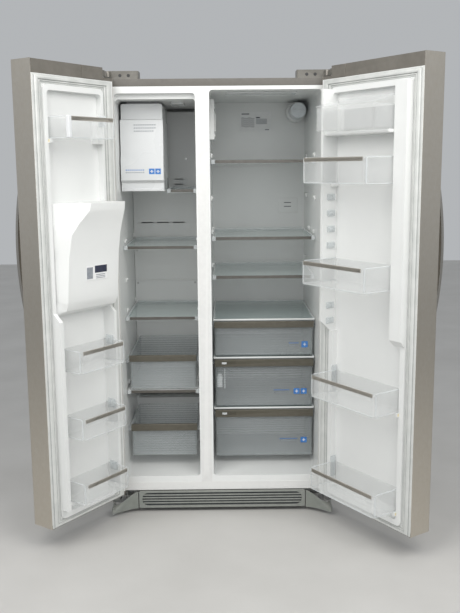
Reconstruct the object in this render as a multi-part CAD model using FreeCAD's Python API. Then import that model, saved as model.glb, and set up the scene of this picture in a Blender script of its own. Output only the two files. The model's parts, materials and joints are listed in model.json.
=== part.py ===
import FreeCAD, Part
import math
import os

# Side by side refrigerator, millimetres, +X to the right, +Y to the back, +Z up.
# The origin is on the floor, on the cabinet's centre plane, at the plane of its front flanges.
# Both doors stand open at rest. Door pieces are modelled shut and then turned about their hinge pins.

Vector = FreeCAD.Vector

# ---- driving dimensions of the cabinet ----
CABINET_HALF = 453.0
CABINET_TOP = 1745.0
CABINET_BACK = 712.0
STEEL = 1.0
PLASTIC = 2.0
SKIRT_BOTTOM = 36.0
FLANGE_HALF = 433.0
FLANGE_BOTTOM = 127.0
FLANGE_TOP = 1717.0
RAIL_BOTTOM = 93.0
FREEZER_LEFT = -397.0
FREEZER_RIGHT = -88.0
FRIDGE_LEFT = -34.0
FRIDGE_RIGHT = 397.0
MULLION = (FREEZER_RIGHT + FRIDGE_LEFT) / 2
FLOOR = 153.0
FREEZER_CEILING = 1672.0
THROAT_TOP = 1692.0
THROAT_DEPTH = 24.0
FRIDGE_CEILING = 1703.0
LINER_BACK = 645.0
HUMP_FRONT = 430.0
HUMP_BACK = 500.0
HUMP_TOP = 345.0
CORNER = 14.0
FOAM_BOTTOM = 107.0
MACHINE_FRONT = 468.0
MACHINE_SLOPE = 535.0
MACHINE_TOP = 300.0

# ---- driving dimensions of the doors ----
DOOR_HALF = 455.5
DOOR_GAP = 5.0
SPLIT = -55.0
DOOR_BOTTOM = 96.0
DOOR_TOP = 1778.0
DOOR_THICK = 102.0
FACE_GAP = 12.0
PIN_IN = 20.0
PIN_OUT = 36.0
FREEZER_REST = 125.4
FRIDGE_REST = 123.6
PIN_R = 6.0
PIN_FIT = 0.05
CAP_BOTTOM = 112.0
CAP_TOP = 1730.0
DIKE_RISE = 10.0
PILLAR_RISE = 32.0
DIKE_HINGE = 62.0
DIKE_FREE = 44.0
DIKE_BOTTOM = 122.0
DIKE_TOP = 1697.0
POCKET_DEPTH = 15.0
POCKET_BOTTOM = 142.0
POCKET_TOP = 1677.0
POCKET_STEP = 785.0
BIN_GAP = 1.5
NOTCH = 50.0
NOTCH_DEPTH = 72.0
NOTCH_FLOOR = 1742.0
FREEZER_W = DOOR_HALF + SPLIT - DOOR_GAP / 2
FRIDGE_W = DOOR_HALF - SPLIT - DOOR_GAP / 2

# ---- inside fittings ----
CLEAR = 2.5
SHELF_FRONT = 152.0
SHELF_BACK = 606.0
DRAWER_FRONT = 128.0
BASKET_FRONT = 106.0
COVER_PLATE = 553.0
FREEZER_SHELVES = (1093.0, 797.0)
FRIDGE_SHELVES = (1439.0, 1127.0, 966.0)
DRAWER_COVERS = (786.0, 624.0, 405.0)

os.makedirs("parts", exist_ok=True)


# ---- shape helpers ----
def box(x0, x1, y0, y1, z0, z1):
    corner = Vector(min(x0, x1), min(y0, y1), min(z0, z1))
    return Part.makeBox(abs(x1 - x0), abs(y1 - y0), abs(z1 - z0), corner)


def rod(start, end, radius):
    a, b = Vector(*start), Vector(*end)
    return Part.makeCylinder(radius, (b - a).Length, a, b - a)


def prism_x(points, x0, x1):
    wire = Part.makePolygon([Vector(x0, y, z) for y, z in points + points[:1]])
    return Part.Face(wire).extrude(Vector(x1 - x0, 0, 0))


def prism_z(points, z0, z1):
    wire = Part.makePolygon([Vector(x, y, z0) for x, y in points + points[:1]])
    return Part.Face(wire).extrude(Vector(0, 0, z1 - z0))


def edges_along(shape, axis, keep=lambda box: True):
    found = []
    for edge in shape.Edges:
        if len(edge.Vertexes) != 2 or edge.Curve.TypeId != "Part::GeomLine":
            continue
        run = edge.Vertexes[1].Point - edge.Vertexes[0].Point
        if abs(abs(run.normalize().dot(Vector(*axis))) - 1) < 1e-6 and keep(edge.BoundBox):
            found.append(edge)
    return found


def rounded(shape, axis, radius, keep=lambda box: True):
    return shape.makeFillet(radius, edges_along(shape, axis, keep))


def fuse(*shapes):
    return shapes[0].multiFuse(list(shapes[1:])).removeSplitter() if len(shapes) > 1 else shapes[0]


def cut(shape, *tools):
    return shape.cut(list(tools))


def save(name, *pieces):
    shape = pieces[0] if len(pieces) == 1 else Part.makeCompound(list(pieces))
    shape.exportStep("parts/" + name + ".step")
    print(name, len(shape.Solids), round(shape.Volume / 1000), "cm3", shape.isValid())


def mirrored(shape):
    return shape.mirror(Vector(0, 0, 0), Vector(1, 0, 0))


# ---- cabinet: steel wrap, liners, foam, panels ----
def cavity(left, right, ceiling, grow):
    lean = 0.4 * grow
    profile = [
        (0, FLOOR - grow),
        (HUMP_FRONT + lean, FLOOR - grow),
        (HUMP_BACK + lean, HUMP_TOP - grow),
        (LINER_BACK + grow, HUMP_TOP - grow),
        (LINER_BACK + grow, ceiling + grow),
        (0, ceiling + grow),
    ]
    return rounded(prism_x(profile, left - grow, right + grow), (0, 1, 0), CORNER + grow)


def freezer_cavity(grow):
    left, right = FREEZER_LEFT - grow, FREEZER_RIGHT + grow
    throat = box(left, right, 0, THROAT_DEPTH + grow, FLOOR + 60, THROAT_TOP + grow)
    throat = rounded(throat, (0, 1, 0), CORNER + grow, lambda b: b.ZMin > FLOOR + 100)
    return fuse(cavity(FREEZER_LEFT, FREEZER_RIGHT, FREEZER_CEILING, grow), throat)


def fridge_cavity(grow):
    return cavity(FRIDGE_LEFT, FRIDGE_RIGHT, FRIDGE_CEILING, grow)


def liner(inner, outer, flange_left, flange_right):
    flange = box(flange_left, flange_right, 0, PLASTIC, FLANGE_BOTTOM, FLANGE_TOP)
    return cut(fuse(outer, flange), inner)


def cabinet_wrap():
    inside = CABINET_HALF - STEEL
    outer = box(-CABINET_HALF, CABINET_HALF, 0, CABINET_BACK, SKIRT_BOTTOM, CABINET_TOP)
    hollow = box(-inside, inside, STEEL, CABINET_BACK, SKIRT_BOTTOM, CABINET_TOP - STEEL)
    face = box(-FLANGE_HALF, FLANGE_HALF, 0, STEEL, SKIRT_BOTTOM, FLANGE_TOP)
    foot = box(-inside, inside, 0, STEEL, SKIRT_BOTTOM, RAIL_BOTTOM)
    return cut(outer, hollow, face, foot)


def cabinet_foam(freezer_outer, fridge_outer):
    inside = CABINET_HALF - STEEL
    profile = [
        (PLASTIC, FOAM_BOTTOM),
        (MACHINE_FRONT, FOAM_BOTTOM),
        (MACHINE_SLOPE, MACHINE_TOP),
        (CABINET_BACK - 2, MACHINE_TOP),
        (CABINET_BACK - 2, CABINET_TOP - STEEL),
        (PLASTIC, CABINET_TOP - STEEL),
    ]
    block = prism_x(profile, -inside, inside)
    return cut(block, freezer_outer, fridge_outer)


def front_rails():
    crossbar = box(-FLANGE_HALF, FLANGE_HALF, -1, 2, RAIL_BOTTOM, FLANGE_BOTTOM)
    cover = box(MULLION - 21, MULLION + 21, -1.2, 0, FLANGE_BOTTOM, FLANGE_TOP)
    screw = rod((MULLION, -1.2, 203), (MULLION, -1.8, 203), 4)
    return fuse(crossbar, cover, screw)


def back_panels():
    inside = CABINET_HALF - STEEL
    upper = box(-inside, inside, CABINET_BACK - 2, CABINET_BACK, MACHINE_TOP + 2, CABINET_TOP - STEEL)
    lower = box(-inside, inside, CABINET_BACK - 2, CABINET_BACK, 48, MACHINE_TOP - 2)
    slots = []
    for column in range(-4, 5):
        for row in range(5):
            x, z = column * 88, 110 + row * 30
            slots.append(box(x - 30, x + 30, CABINET_BACK - 5, CABINET_BACK + 5, z, z + 8))
    return upper, cut(lower, *slots)


# ---- base: frame, feet, rollers, grille, corner covers ----
LEG_X = 400.0
LEG_Y = 40.0
NUT_R = 9.0
ROLLER_Y = 610.0
ROLLER_R = 26.0
ROLLER_X0 = 401.0
ROLLER_X1 = 421.0
AXLE_R = 5.0


def base_frame():
    deck = box(-450, 450, 4, MACHINE_FRONT, FOAM_BOTTOM - 3, FOAM_BOTTOM)
    tray = box(-424, 424, 478, 705, 46, 49)
    riser = box(-424, 424, 475, 478, 46, FOAM_BOTTOM)
    beam = box(-424, 424, 62, 82, 56, FOAM_BOTTOM - 3)
    pieces = [deck, tray, riser, beam]
    for side in (-1, 1):
        rail = cut(
            box(side * 424, side * 450, 9, 705, SKIRT_BOTTOM, FOAM_BOTTOM - 3),
            box(side * 427, side * 451, 12, 702, SKIRT_BOTTOM + 3, FOAM_BOTTOM - 6))
        leg_plate = box(side * 378, side * 424, 20, 62, 56, 62)
        ear = box(side * 393, side * 398, ROLLER_Y - 18, ROLLER_Y + 18, 12, 49)
        axle = rod((side * 393, ROLLER_Y, ROLLER_R), (side * 430, ROLLER_Y, ROLLER_R), AXLE_R)
        outer_ear = box(side * 424, side * 430, ROLLER_Y - 18, ROLLER_Y + 18, 12, SKIRT_BOTTOM)
        pieces += [rail, leg_plate, ear, axle, outer_ear]
    frame = fuse(*pieces)
    wells = [box(-370, 370, 65, 79, 50, FOAM_BOTTOM - 6)]
    for side in (-1, 1):
        wells.append(box(side * (ROLLER_X0 - 2.5), side * 423.9, ROLLER_Y - 32, ROLLER_Y + 32, 44, 58))
        wells.append(rod((side * LEG_X, LEG_Y, 50), (side * LEG_X, LEG_Y, 70), 5.3))
    return cut(frame, *wells)


def levelling_leg(side):
    foot = Part.makeCone(17, 13, 12, Vector(side * LEG_X, LEG_Y, 0))
    corners = []
    for corner in range(6):
        angle = corner * math.pi / 3
        corners.append((side * LEG_X + NUT_R * math.cos(angle), LEG_Y + NUT_R * math.sin(angle)))
    nut = prism_z(corners, 12, 20)
    return fuse(foot, nut, rod((side * LEG_X, LEG_Y, 20), (side * LEG_X, LEG_Y, 92), 5))


def roller(side):
    wheel = rod((side * ROLLER_X0, ROLLER_Y, ROLLER_R), (side * ROLLER_X1, ROLLER_Y, ROLLER_R), ROLLER_R)
    groove = cut(
        rod((side * 409, ROLLER_Y, ROLLER_R), (side * 413, ROLLER_Y, ROLLER_R), ROLLER_R + 1),
        rod((side * 409, ROLLER_Y, ROLLER_R), (side * 413, ROLLER_Y, ROLLER_R), ROLLER_R - 3))
    bore = rod((side * 400, ROLLER_Y, ROLLER_R), (side * 422, ROLLER_Y, ROLLER_R), AXLE_R + PIN_FIT)
    return cut(wheel, groove, bore)


def toe_grille():
    plate = rounded(box(-344, 344, -9, -3, 18, 90), (0, 1, 0), 5)
    slots = []
    for row in range(4):
        z = 32 + row * 14.6
        slot = box(-326, 326, -12, 0, z - 3.6, z + 3.6)
        slots.append(rounded(slot, (0, 1, 0), 3.5))
    clips = [box(x - 10, x + 10, -3, 4, 84, 90) for x in (-240, 0, 240)]
    return fuse(cut(plate, *slots), *clips)


def corner_cover():
    def profile(inset):
        reach = 66 - inset
        points = [(347 + inset, 0), (347 + inset, -9 + inset / 2)]
        for step in range(1, 9):
            t = step / 8 * math.pi / 2
            points.append((347 + inset + 62 * math.sin(t), -9 - (reach - 9) * (1 - math.cos(t))))
        points += [(452 - inset - 8, -reach), (452 - inset, -reach + 8), (452 - inset, 0)]
        return points
    return cut(prism_z(profile(0), 15, 84), prism_z(profile(2.5), 14, 81.5))


# ---- hinges ----
PIN_X = DOOR_HALF - PIN_IN
PIN_Y = -FACE_GAP - PIN_OUT


def top_hinge():
    plate = box(310, 445.5, 8, 66, CABINET_TOP, CABINET_TOP + 4)
    arm = box(PIN_X - 10, PIN_X + 10, PIN_Y, 9, CABINET_TOP, CABINET_TOP + 4)
    tip = rod((PIN_X, PIN_Y, CABINET_TOP), (PIN_X, PIN_Y, CABINET_TOP + 4), 10)
    pin = rod((PIN_X, PIN_Y, CAP_TOP + 1), (PIN_X, PIN_Y, CABINET_TOP + 4), PIN_R)
    return fuse(plate, arm, tip, pin)


def lower_hinge():
    arm = box(PIN_X - 10, PIN_X + 10, PIN_Y, 9, 87, 91)
    tip = rod((PIN_X, PIN_Y, 87), (PIN_X, PIN_Y, 91), 10)
    pin = rod((PIN_X, PIN_Y, 87), (PIN_X, PIN_Y, CAP_BOTTOM - 2), PIN_R)
    washer = rod((PIN_X, PIN_Y, 91), (PIN_X, PIN_Y, DOOR_BOTTOM - 0.5), 9)
    upstand = box(PIN_X - 10, PIN_X + 10, 5, 9, 50, 91)
    return fuse(arm, tip, pin, washer, upstand)


def hinge_cover():
    outer_box = rounded(box(302, 447.5, 2, 74, CABINET_TOP, CABINET_TOP + 30), (0, 0, 1), 6)
    arm = box(PIN_X - 12, PIN_X + 12, PIN_Y, 10, CABINET_TOP + 5, CABINET_TOP + 27)
    tip = rod((PIN_X, PIN_Y, CABINET_TOP + 5), (PIN_X, PIN_Y, CABINET_TOP + 27), 12)
    shoulder = rounded(box(408, 447.5, -18, 10, CABINET_TOP + 5, CABINET_TOP + 27), (0, 0, 1), 10)
    hollow = box(304.5, 446, 4.5, 71.5, CABINET_TOP, CABINET_TOP + 27.5)
    arm_hollow = box(PIN_X - 10.3, PIN_X + 10.3, PIN_Y, 10, CABINET_TOP, CABINET_TOP + 24)
    shoulder_hollow = box(411, 445, -15, 10, CABINET_TOP, CABINET_TOP + 24)
    return cut(fuse(outer_box, arm, tip, shoulder), hollow, arm_hollow, shoulder_hollow)


# ---- cooling machinery ----
def fan_blade(centre, axis, radius, depth):
    cx, cy, cz = centre
    hub = Part.makeCylinder(radius * 0.3, depth, Vector(0, 0, 0), Vector(0, 0, 1))
    blades = []
    for turn in range(5):
        blade = box(radius * 0.2, radius, -radius * 0.28, radius * 0.28, -0.8, 0.8)
        blade.rotate(Vector(0, 0, 0), Vector(1, 0, 0), 28)
        blade.translate(Vector(0, 0, depth / 2))
        blade.rotate(Vector(0, 0, 0), Vector(0, 0, 1), turn * 72)
        blades.append(blade)
    fan = fuse(hub, *blades)
    bore = Part.makeCylinder(3 + PIN_FIT, depth * 0.7, Vector(0, 0, -0.1))
    fan = cut(fan, bore)
    if axis == "x":
        fan.rotate(Vector(0, 0, 0), Vector(0, 1, 0), 90)
    else:
        fan.rotate(Vector(0, 0, 0), Vector(1, 0, 0), 90)
    fan.translate(Vector(cx, cy, cz))
    return fan


CONDENSER_FAN = (-60.0, 600.0, 165.0)
FREEZER_FAN = (-242.0, 584.0, 1235.0)


def condenser_motor():
    x, y, z = CONDENSER_FAN
    body = rod((x - 42, y, z), (x - 10, y, z), 24)
    shaft = rod((x - 42, y, z), (x + 10, y, z), 3)
    post = box(x - 40, x - 14, y - 8, y + 8, 49, z - 10)
    return fuse(body, shaft, post)


def freezer_fan_motor():
    x, y, z = FREEZER_FAN
    body = rod((x, y + 22, z), (x, y + 50, z), 22)
    shaft = rod((x, y - 8, z), (x, y + 50, z), 3)
    bar = box(x - 90, x + 90, y + 50, LINER_BACK, z - 12, z + 12)
    return fuse(body, shaft, bar)


def compressor():
    cx, cy = 250, 605
    pod = rod((cx, cy, 62), (cx, cy, 236), 82)
    pod = pod.makeFillet(34, [e for e in pod.Edges if e.Curve.TypeId == "Part::GeomCircle"])
    inside = rod((cx, cy, 72), (cx, cy, 226), 72)
    pod = cut(pod, inside.makeFillet(26, [e for e in inside.Edges if e.Curve.TypeId == "Part::GeomCircle"]))
    feet = box(cx - 105, cx + 105, cy - 60, cy + 60, 60, 63)
    grommets = []
    for dx in (-92, 92):
        for dy in (-48, 48):
            grommets.append(rod((cx + dx, cy + dy, 49), (cx + dx, cy + dy, 60), 11))
    return fuse(pod, feet, *grommets)


def condenser():
    fins = [box(x, x + 1.5, 530, 690, 64, 256) for x in range(-360, -130, 12)]
    tubes = [rod((-372, y, z), (-126, y, z), 4) for y in (545, 602, 660) for z in (90, 140, 190, 240)]
    return fuse(*fins, *tubes)


def evaporator():
    fins = [box(x, x + 1.5, 568, 636, 620, 1080) for x in range(-378, -100, 14)]
    tubes = [rod((-386, y, z), (-99, y, z), 4.5) for y in (585, 618) for z in range(650, 1080, 60)]
    return fuse(*fins, *tubes)


def evaporator_cover():
    low, high = HUMP_TOP + CORNER + 1, FREEZER_CEILING - CORNER
    plate = box(FREEZER_LEFT + 1, FREEZER_RIGHT - 1, COVER_PLATE, COVER_PLATE + 3, low, high)
    cuts = []
    for column in range(3):
        x = -334 + column * 72
        cuts.append(box(x - 28, x + 28, COVER_PLATE - 5, COVER_PLATE + 5, 1161, 1166))
    for row in range(2):
        z = 1335 + row * 23
        cuts.append(box(-205, -165, COVER_PLATE - 5, COVER_PLATE + 5, z, z + 4))
    cuts.append(box(-375, -109, COVER_PLATE - 1, COVER_PLATE + 1, 900, 902))
    cuts.append(box(-380, -105, COVER_PLATE - 5, COVER_PLATE + 5, 376, 396))
    ribs = [box(x - 1.5, x + 1.5, COVER_PLATE + 3, COVER_PLATE + 11, 420, 600) for x in (-390, -95)]
    return fuse(cut(plate, *cuts), *ribs)


def drain_pan():
    tub = box(-112, 138, 500, 560, 49, 66)
    return cut(tub, box(-109, 135, 503, 557, 52, 70))


# ---- freezer fittings ----
ICE_LEFT = -392.0
ICE_RIGHT = -221.0
ICE_FRONT = 114.0
ICE_BOTTOM = 1318.0
ICE_SEAM = 1600.0
ICE_BACK = 400.0
HOOD_TOP = 1662.0
AUGER_X = (ICE_LEFT + ICE_RIGHT) / 2
AUGER_Z = ICE_BOTTOM + 48


def ice_housing():
    hood = box(ICE_LEFT + 4, ICE_RIGHT - 2, ICE_FRONT + 8, ICE_BACK, ICE_SEAM + 1, HOOD_TOP)
    hood = rounded(hood, (0, 1, 0), 8, lambda b: b.ZMin > ICE_SEAM + 20)
    inside_top = HOOD_TOP - 3
    hood = cut(hood, box(ICE_LEFT + 7, ICE_RIGHT - 5, ICE_FRONT + 11, ICE_BACK - 3, ICE_SEAM, inside_top))
    bridge = box(ICE_LEFT + 20, ICE_RIGHT - 20, 180, 370, inside_top, FREEZER_CEILING)
    mould = box(ICE_LEFT + 30, ICE_RIGHT - 30, 190, 380, 1616, inside_top)
    mould = cut(mould, box(ICE_LEFT + 36, ICE_RIGHT - 36, 196, 374, 1616, 1650))
    motor = box(ICE_LEFT + 6, ICE_RIGHT - 14, ICE_BACK + 6, COVER_PLATE - 1, ICE_BOTTOM + 4, 1640)
    shaft = rod((AUGER_X, ICE_BACK - 16, AUGER_Z), (AUGER_X, ICE_BACK + 8, AUGER_Z), 6)
    motor = cut(motor, box(ICE_LEFT + 10, ICE_RIGHT - 18, ICE_BACK + 40, COVER_PLATE, ICE_BOTTOM + 8, 1636))
    neck = box(ICE_LEFT + 20, ICE_RIGHT - 20, ICE_BACK - 3, ICE_BACK + 6, 1604, 1636)
    return fuse(hood, bridge, mould, neck, motor, shaft)


def ice_bin():
    front = [
        (ICE_FRONT, ICE_SEAM), (ICE_FRONT, 1470), (ICE_FRONT - 14, 1440),
        (ICE_FRONT - 14, 1362), (ICE_FRONT, 1352), (ICE_FRONT, ICE_BOTTOM),
        (ICE_BACK, ICE_BOTTOM), (ICE_BACK, ICE_SEAM),
    ]
    body = prism_x(front, ICE_LEFT, ICE_RIGHT)
    hollow = box(ICE_LEFT + 3, ICE_RIGHT - 3, ICE_FRONT + 5, ICE_BACK - 3, ICE_BOTTOM + 3, ICE_SEAM + 5)
    outlet = box(AUGER_X - 36, AUGER_X + 36, ICE_FRONT + 8, ICE_FRONT + 52, ICE_BOTTOM - 5, ICE_BOTTOM + 5)
    shaft_hole = rod((AUGER_X, ICE_BACK - 5, AUGER_Z), (AUGER_X, ICE_BACK + 5, AUGER_Z), 9)
    return cut(body, hollow, outlet, shaft_hole)


def ice_auger():
    core = rod((AUGER_X, ICE_FRONT + 18, AUGER_Z), (AUGER_X, ICE_BACK - 22, AUGER_Z), 7)
    flights = []
    for step in range(9):
        y = ICE_FRONT + 40 + step * 25
        flight = cut(
            rod((AUGER_X, y, AUGER_Z), (AUGER_X, y + 4, AUGER_Z), 38),
            box(AUGER_X - 50, AUGER_X + 50, y - 1, y + 5, AUGER_Z + 5, AUGER_Z + 50))
        flight.rotate(Vector(AUGER_X, y, AUGER_Z), Vector(0, 1, 0), step * 80)
        flights.append(flight)
    return fuse(core, *flights)


def shelf(left, right, top, front, back, deep=14, lip=6):
    glass = box(left + 8, right - 8, front + 6, back - 6, top - 5, top - 1)
    side_rails = [box(x0, x0 + 8, front, back, top - deep, top + 2) for x0 in (left, right - 8)]
    rear_rail = box(left + 8, right - 8, back - 6, back, top - deep, top + lip)
    front_rail = box(left + 8, right - 8, front, front + 6, top - deep, top)
    return glass, fuse(*side_rails, rear_rail, front_rail)


def slotted_shelf(top):
    left, right, front, back = FREEZER_LEFT + 3, FREEZER_RIGHT - 3, 116, 545
    rails = [box(x, x + 8, front, back, top - 14, top + 2) for x in (left, right - 8)]
    slats = [box(left + 8, right - 8, y, y + 14, top - 6, top) for y in range(front + 12, back - 20, 34)]
    spine = [box(x - 4, x + 4, front + 12, back - 20, top - 10, top - 6) for x in (-310, -180)]
    bar = box(left + 8, right - 8, front, front + 6, top - 12, top)
    return fuse(*rails, *slats, *spine, bar)


def tub(left, right, front, back, bottom, top, wall=CLEAR):
    outer = rounded(box(left, right, front, back, bottom, top), (0, 0, 1), 10)
    inner = box(left + wall, right - wall, front + wall, back - wall, bottom + wall, top + 5)
    return cut(outer, rounded(inner, (0, 0, 1), 10 - wall))


def trim_bar(left, right, front, bottom, top):
    return rounded(box(left, right, front, front + 12, bottom, top), (1, 0, 0), 3)


BASKETS = {
    "upper_basket": {"bottom": 494.0, "top": 640.0, "trim": 613.0, "back": 530.0},
    "lower_basket": {"bottom": 201.0, "top": 342.0, "trim": 312.0, "back": 420.0},
}
DRAWERS = {
    "deli_drawer": {"bottom": 629.0, "top": 776.0, "trim": 748.0, "back": 590.0},
    "upper_crisper": {"bottom": 410.0, "top": 614.0, "trim": 582.0, "back": 590.0},
    "lower_crisper": {"bottom": 187.0, "top": 395.0, "trim": 362.0, "back": 424.0},
}
BASKET_LEFT = -382.0
BASKET_RIGHT = -103.0
DRAWER_LEFT = -26.0
DRAWER_RIGHT = 390.0
SLIDER_LEFT = 4.0


def drawer_rails():
    rails = []
    for spec in DRAWERS.values():
        z = spec["top"] - 24
        back = spec["back"]
        rails.append(box(FRIDGE_LEFT, FRIDGE_LEFT + 7, SHELF_FRONT, back, z, z + 8))
        rails.append(box(FRIDGE_RIGHT, FRIDGE_RIGHT - 6, SHELF_FRONT, back, z, z + 8))
    for spec in BASKETS.values():
        z = spec["top"] - 34
        back = spec["back"]
        rails.append(box(FREEZER_LEFT, FREEZER_LEFT + 12, 128, back, z, z + 8))
        rails.append(box(FREEZER_RIGHT, FREEZER_RIGHT - 12, 128, back, z, z + 8))
    return rails


def slide_trim(spec, left, right, front, with_slot):
    bar = trim_bar(left, right, front, spec["trim"], spec["top"])
    if with_slot:
        middle = (spec["trim"] + spec["top"]) / 2
        bar = cut(bar, box(SLIDER_LEFT - 2, SLIDER_LEFT + 58, front - 1, front + 4, middle - 5, middle + 5))
    return bar


def humidity_slider(spec):
    middle = (spec["trim"] + spec["top"]) / 2
    plate = box(SLIDER_LEFT, SLIDER_LEFT + 20, DRAWER_FRONT, DRAWER_FRONT + 3.5, middle - 4, middle + 4)
    knob = box(SLIDER_LEFT + 7, SLIDER_LEFT + 13, DRAWER_FRONT - 4, DRAWER_FRONT, middle - 4, middle + 4)
    return fuse(plate, knob)


# ---- fridge fittings ----
FILTER_X = 350.0
FILTER_Z = 1655.0
FILTER_FRONT = 445.0


def filter_housing():
    collar = rod((FILTER_X, 560, FILTER_Z), (FILTER_X, LINER_BACK, FILTER_Z), 44)
    bore = rod((FILTER_X, 550, FILTER_Z), (FILTER_X, LINER_BACK - 10, FILTER_Z), 34 + PIN_FIT)
    return cut(collar, bore)


def water_filter():
    body = rod((FILTER_X, FILTER_FRONT, FILTER_Z), (FILTER_X, LINER_BACK - 12, FILTER_Z), 34)
    body = body.makeFillet(4, [e for e in body.Edges if e.BoundBox.YMax < FILTER_FRONT + 1])
    grip = box(FILTER_X - 24, FILTER_X + 24, FILTER_FRONT - 6, FILTER_FRONT + 2, FILTER_Z - 4, FILTER_Z + 4)
    return fuse(body, grip)


def air_damper():
    body = rounded(box(FRIDGE_LEFT, FRIDGE_LEFT + 18, 160, 330, 1522, 1682), (0, 1, 0), 6,
                   lambda b: b.XMin > FRIDGE_LEFT + 10)
    louvres = [box(FRIDGE_LEFT + 12, FRIDGE_LEFT + 30, 180, 310, z, z + 6) for z in range(1630, 1670, 12)]
    return cut(body, *louvres)


def ceiling_lights():
    fridge = box(30, 310, 80, 190, FRIDGE_CEILING - 6, FRIDGE_CEILING)
    freezer = box(-192, -140, 170, 300, FREEZER_CEILING - 8, FREEZER_CEILING)
    return [rounded(lens, (0, 0, 1), 8) for lens in (fridge, freezer)]


# ---- doors: shut coordinates, u from the hinge edge, v outward from the inner face ----
def door_box(side, u0, u1, v0, v1, z0, z1):
    x0, x1 = side * (DOOR_HALF - u0), side * (DOOR_HALF - u1)
    return box(x0, x1, -FACE_GAP - v0, -FACE_GAP - v1, z0, z1)


def door_prism(side, profile, u0, u1):
    """Extrude a (v, z) profile from u0 to u1."""
    points = [(-FACE_GAP - v, z) for v, z in profile]
    return prism_x(points, side * (DOOR_HALF - u0), side * (DOOR_HALF - u1))


def door_rod(side, u0, u1, v, z, radius):
    """Rod along the door's width."""
    y = -FACE_GAP - v
    return rod((side * (DOOR_HALF - u0), y, z), (side * (DOOR_HALF - u1), y, z), radius)


def open_door(shape, side):
    turned = shape.copy()
    angle = FRIDGE_REST if side > 0 else -FREEZER_REST
    turned.rotate(Vector(side * PIN_X, PIN_Y, 0), Vector(0, 0, 1), angle)
    return turned


def pin_hole(side, z0, z1):
    return rod((side * PIN_X, PIN_Y, z0), (side * PIN_X, PIN_Y, z1), PIN_R + PIN_FIT)


def slab(side, width, inset, v0, z0, z1):
    block = door_box(side, inset, width - inset, v0, DOOR_THICK - inset, z0, z1)
    return rounded(block, (0, 0, 1), 12 - inset, lambda b: b.YMax < -FACE_GAP - DOOR_THICK / 2)


def notch(side):
    return door_box(side, -5, NOTCH, -5, NOTCH_DEPTH, NOTCH_FLOOR, DOOR_TOP + 5)


def door_panel(side, width, opening=None):
    outer = slab(side, width, 0, 0, DOOR_BOTTOM, DOOR_TOP)
    panel = cut(outer, slab(side, width, STEEL, -5, DOOR_BOTTOM - 5, DOOR_TOP + 5), notch(side))
    return cut(panel, opening) if opening else panel


def door_caps(side, width):
    top = slab(side, width, STEEL, 0, CAP_TOP, DOOR_TOP - 1)
    top = cut(top, door_box(side, NOTCH + 4, width - 5, 4, DOOR_THICK - 5, CAP_TOP - 1, DOOR_TOP - 4))
    top = cut(top, notch(side), pin_hole(side, CAP_TOP - 5, NOTCH_FLOOR + 5))
    bottom = slab(side, width, STEEL, 0, DOOR_BOTTOM, CAP_BOTTOM)
    bottom = cut(bottom, door_box(side, 46, width - 5, 4, DOOR_THICK - 5, DOOR_BOTTOM + 3, CAP_BOTTOM + 1))
    bottom = cut(bottom, pin_hole(side, DOOR_BOTTOM - 5, CAP_BOTTOM + 5))
    return top, bottom


def rounded_pad(side, u0, u1, v0, v1, z0, z1, radius):
    return rounded(door_box(side, u0, u1, v0, v1, z0, z1), (0, 1, 0), radius)


def fridge_relief(grow):
    """Foam side of the fridge door's liner, pushed in by grow."""
    core = door_box(1, STEEL, FRIDGE_W - STEEL, grow, 60, CAP_BOTTOM, CAP_TOP)
    dike = rounded_pad(1, DIKE_HINGE + grow, FRIDGE_W - DIKE_FREE - grow, -DIKE_RISE + grow, 60,
                       DIKE_BOTTOM + grow, DIKE_TOP - grow, 20 - grow)
    floor = POCKET_DEPTH + grow
    upper = door_box(1, 72 - grow, 408 + grow, -80, floor, POCKET_STEP - grow, POCKET_TOP + grow)
    upper = rounded(upper, (0, 1, 0), 14 + grow, lambda b: b.ZMin > POCKET_STEP + 50)
    lower = door_box(1, 84 - grow, 442 + grow, -80, floor, POCKET_BOTTOM - grow, POCKET_STEP + grow)
    outer_or_low = lambda b: b.XMax < DOOR_HALF - 400 or b.ZMax < POCKET_STEP - 50
    lower = rounded(lower, (0, 1, 0), 14 + grow, outer_or_low)
    relief = fuse(
        cut(fuse(core, dike), upper, lower),
        side_wall(1, DIKE_HINGE, 72, HINGE_WALL_RISE, POCKET_STEP, DIKE_TOP - 7, True, grow),
        side_wall(1, 408, FRIDGE_W - DIKE_FREE, PILLAR_RISE, POCKET_STEP, DIKE_TOP - 7, True, grow))
    return fuse(relief, *[door_lug(1, u, z, grow) for u, z in fridge_lugs()])


ROOT = 20.0
LUG_RISE = 18.0
LUG_TALL = 14.0
HINGE_WALL_RISE = 57.0
FREEZER_WALL_RISE = 42.0
WALL_BOTTOM = 160.0
WALL_TOP = 900.0


def side_wall(side, u0, u1, rise, bottom, top, low_slope, grow):
    """Raised wall beside the door bins, pushed in by grow. One end slopes down to the dike."""
    tall, low = -rise + grow, -DIKE_RISE + grow
    run = rise * 0.7
    foot = bottom + run if low_slope else bottom
    head = top if low_slope else top - run
    profile = [
        (ROOT, bottom + grow), (low, bottom + grow), (tall, foot + grow),
        (tall, head - grow), (low, top - grow), (ROOT, top - grow),
    ]
    return door_prism(side, profile, u0 + grow, u1 - grow)


def door_lug(side, u, z, grow):
    toward = 12 if u < 200 else -12
    start = u - 2 if u < 200 else u + 2
    end = u + toward - math.copysign(grow, toward)
    return door_box(side, start, end, -LUG_RISE + grow, ROOT, z - LUG_TALL + grow, z - grow)


def fridge_lugs():
    lugs = []
    for spec in FRIDGE_BINS:
        low = spec["top"] < POCKET_STEP
        hinge_wall, free_wall = (84, 442) if low else (72, 408)
        lugs += [(hinge_wall, spec["bottom"]), (free_wall, spec["bottom"])]
    return lugs


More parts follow.
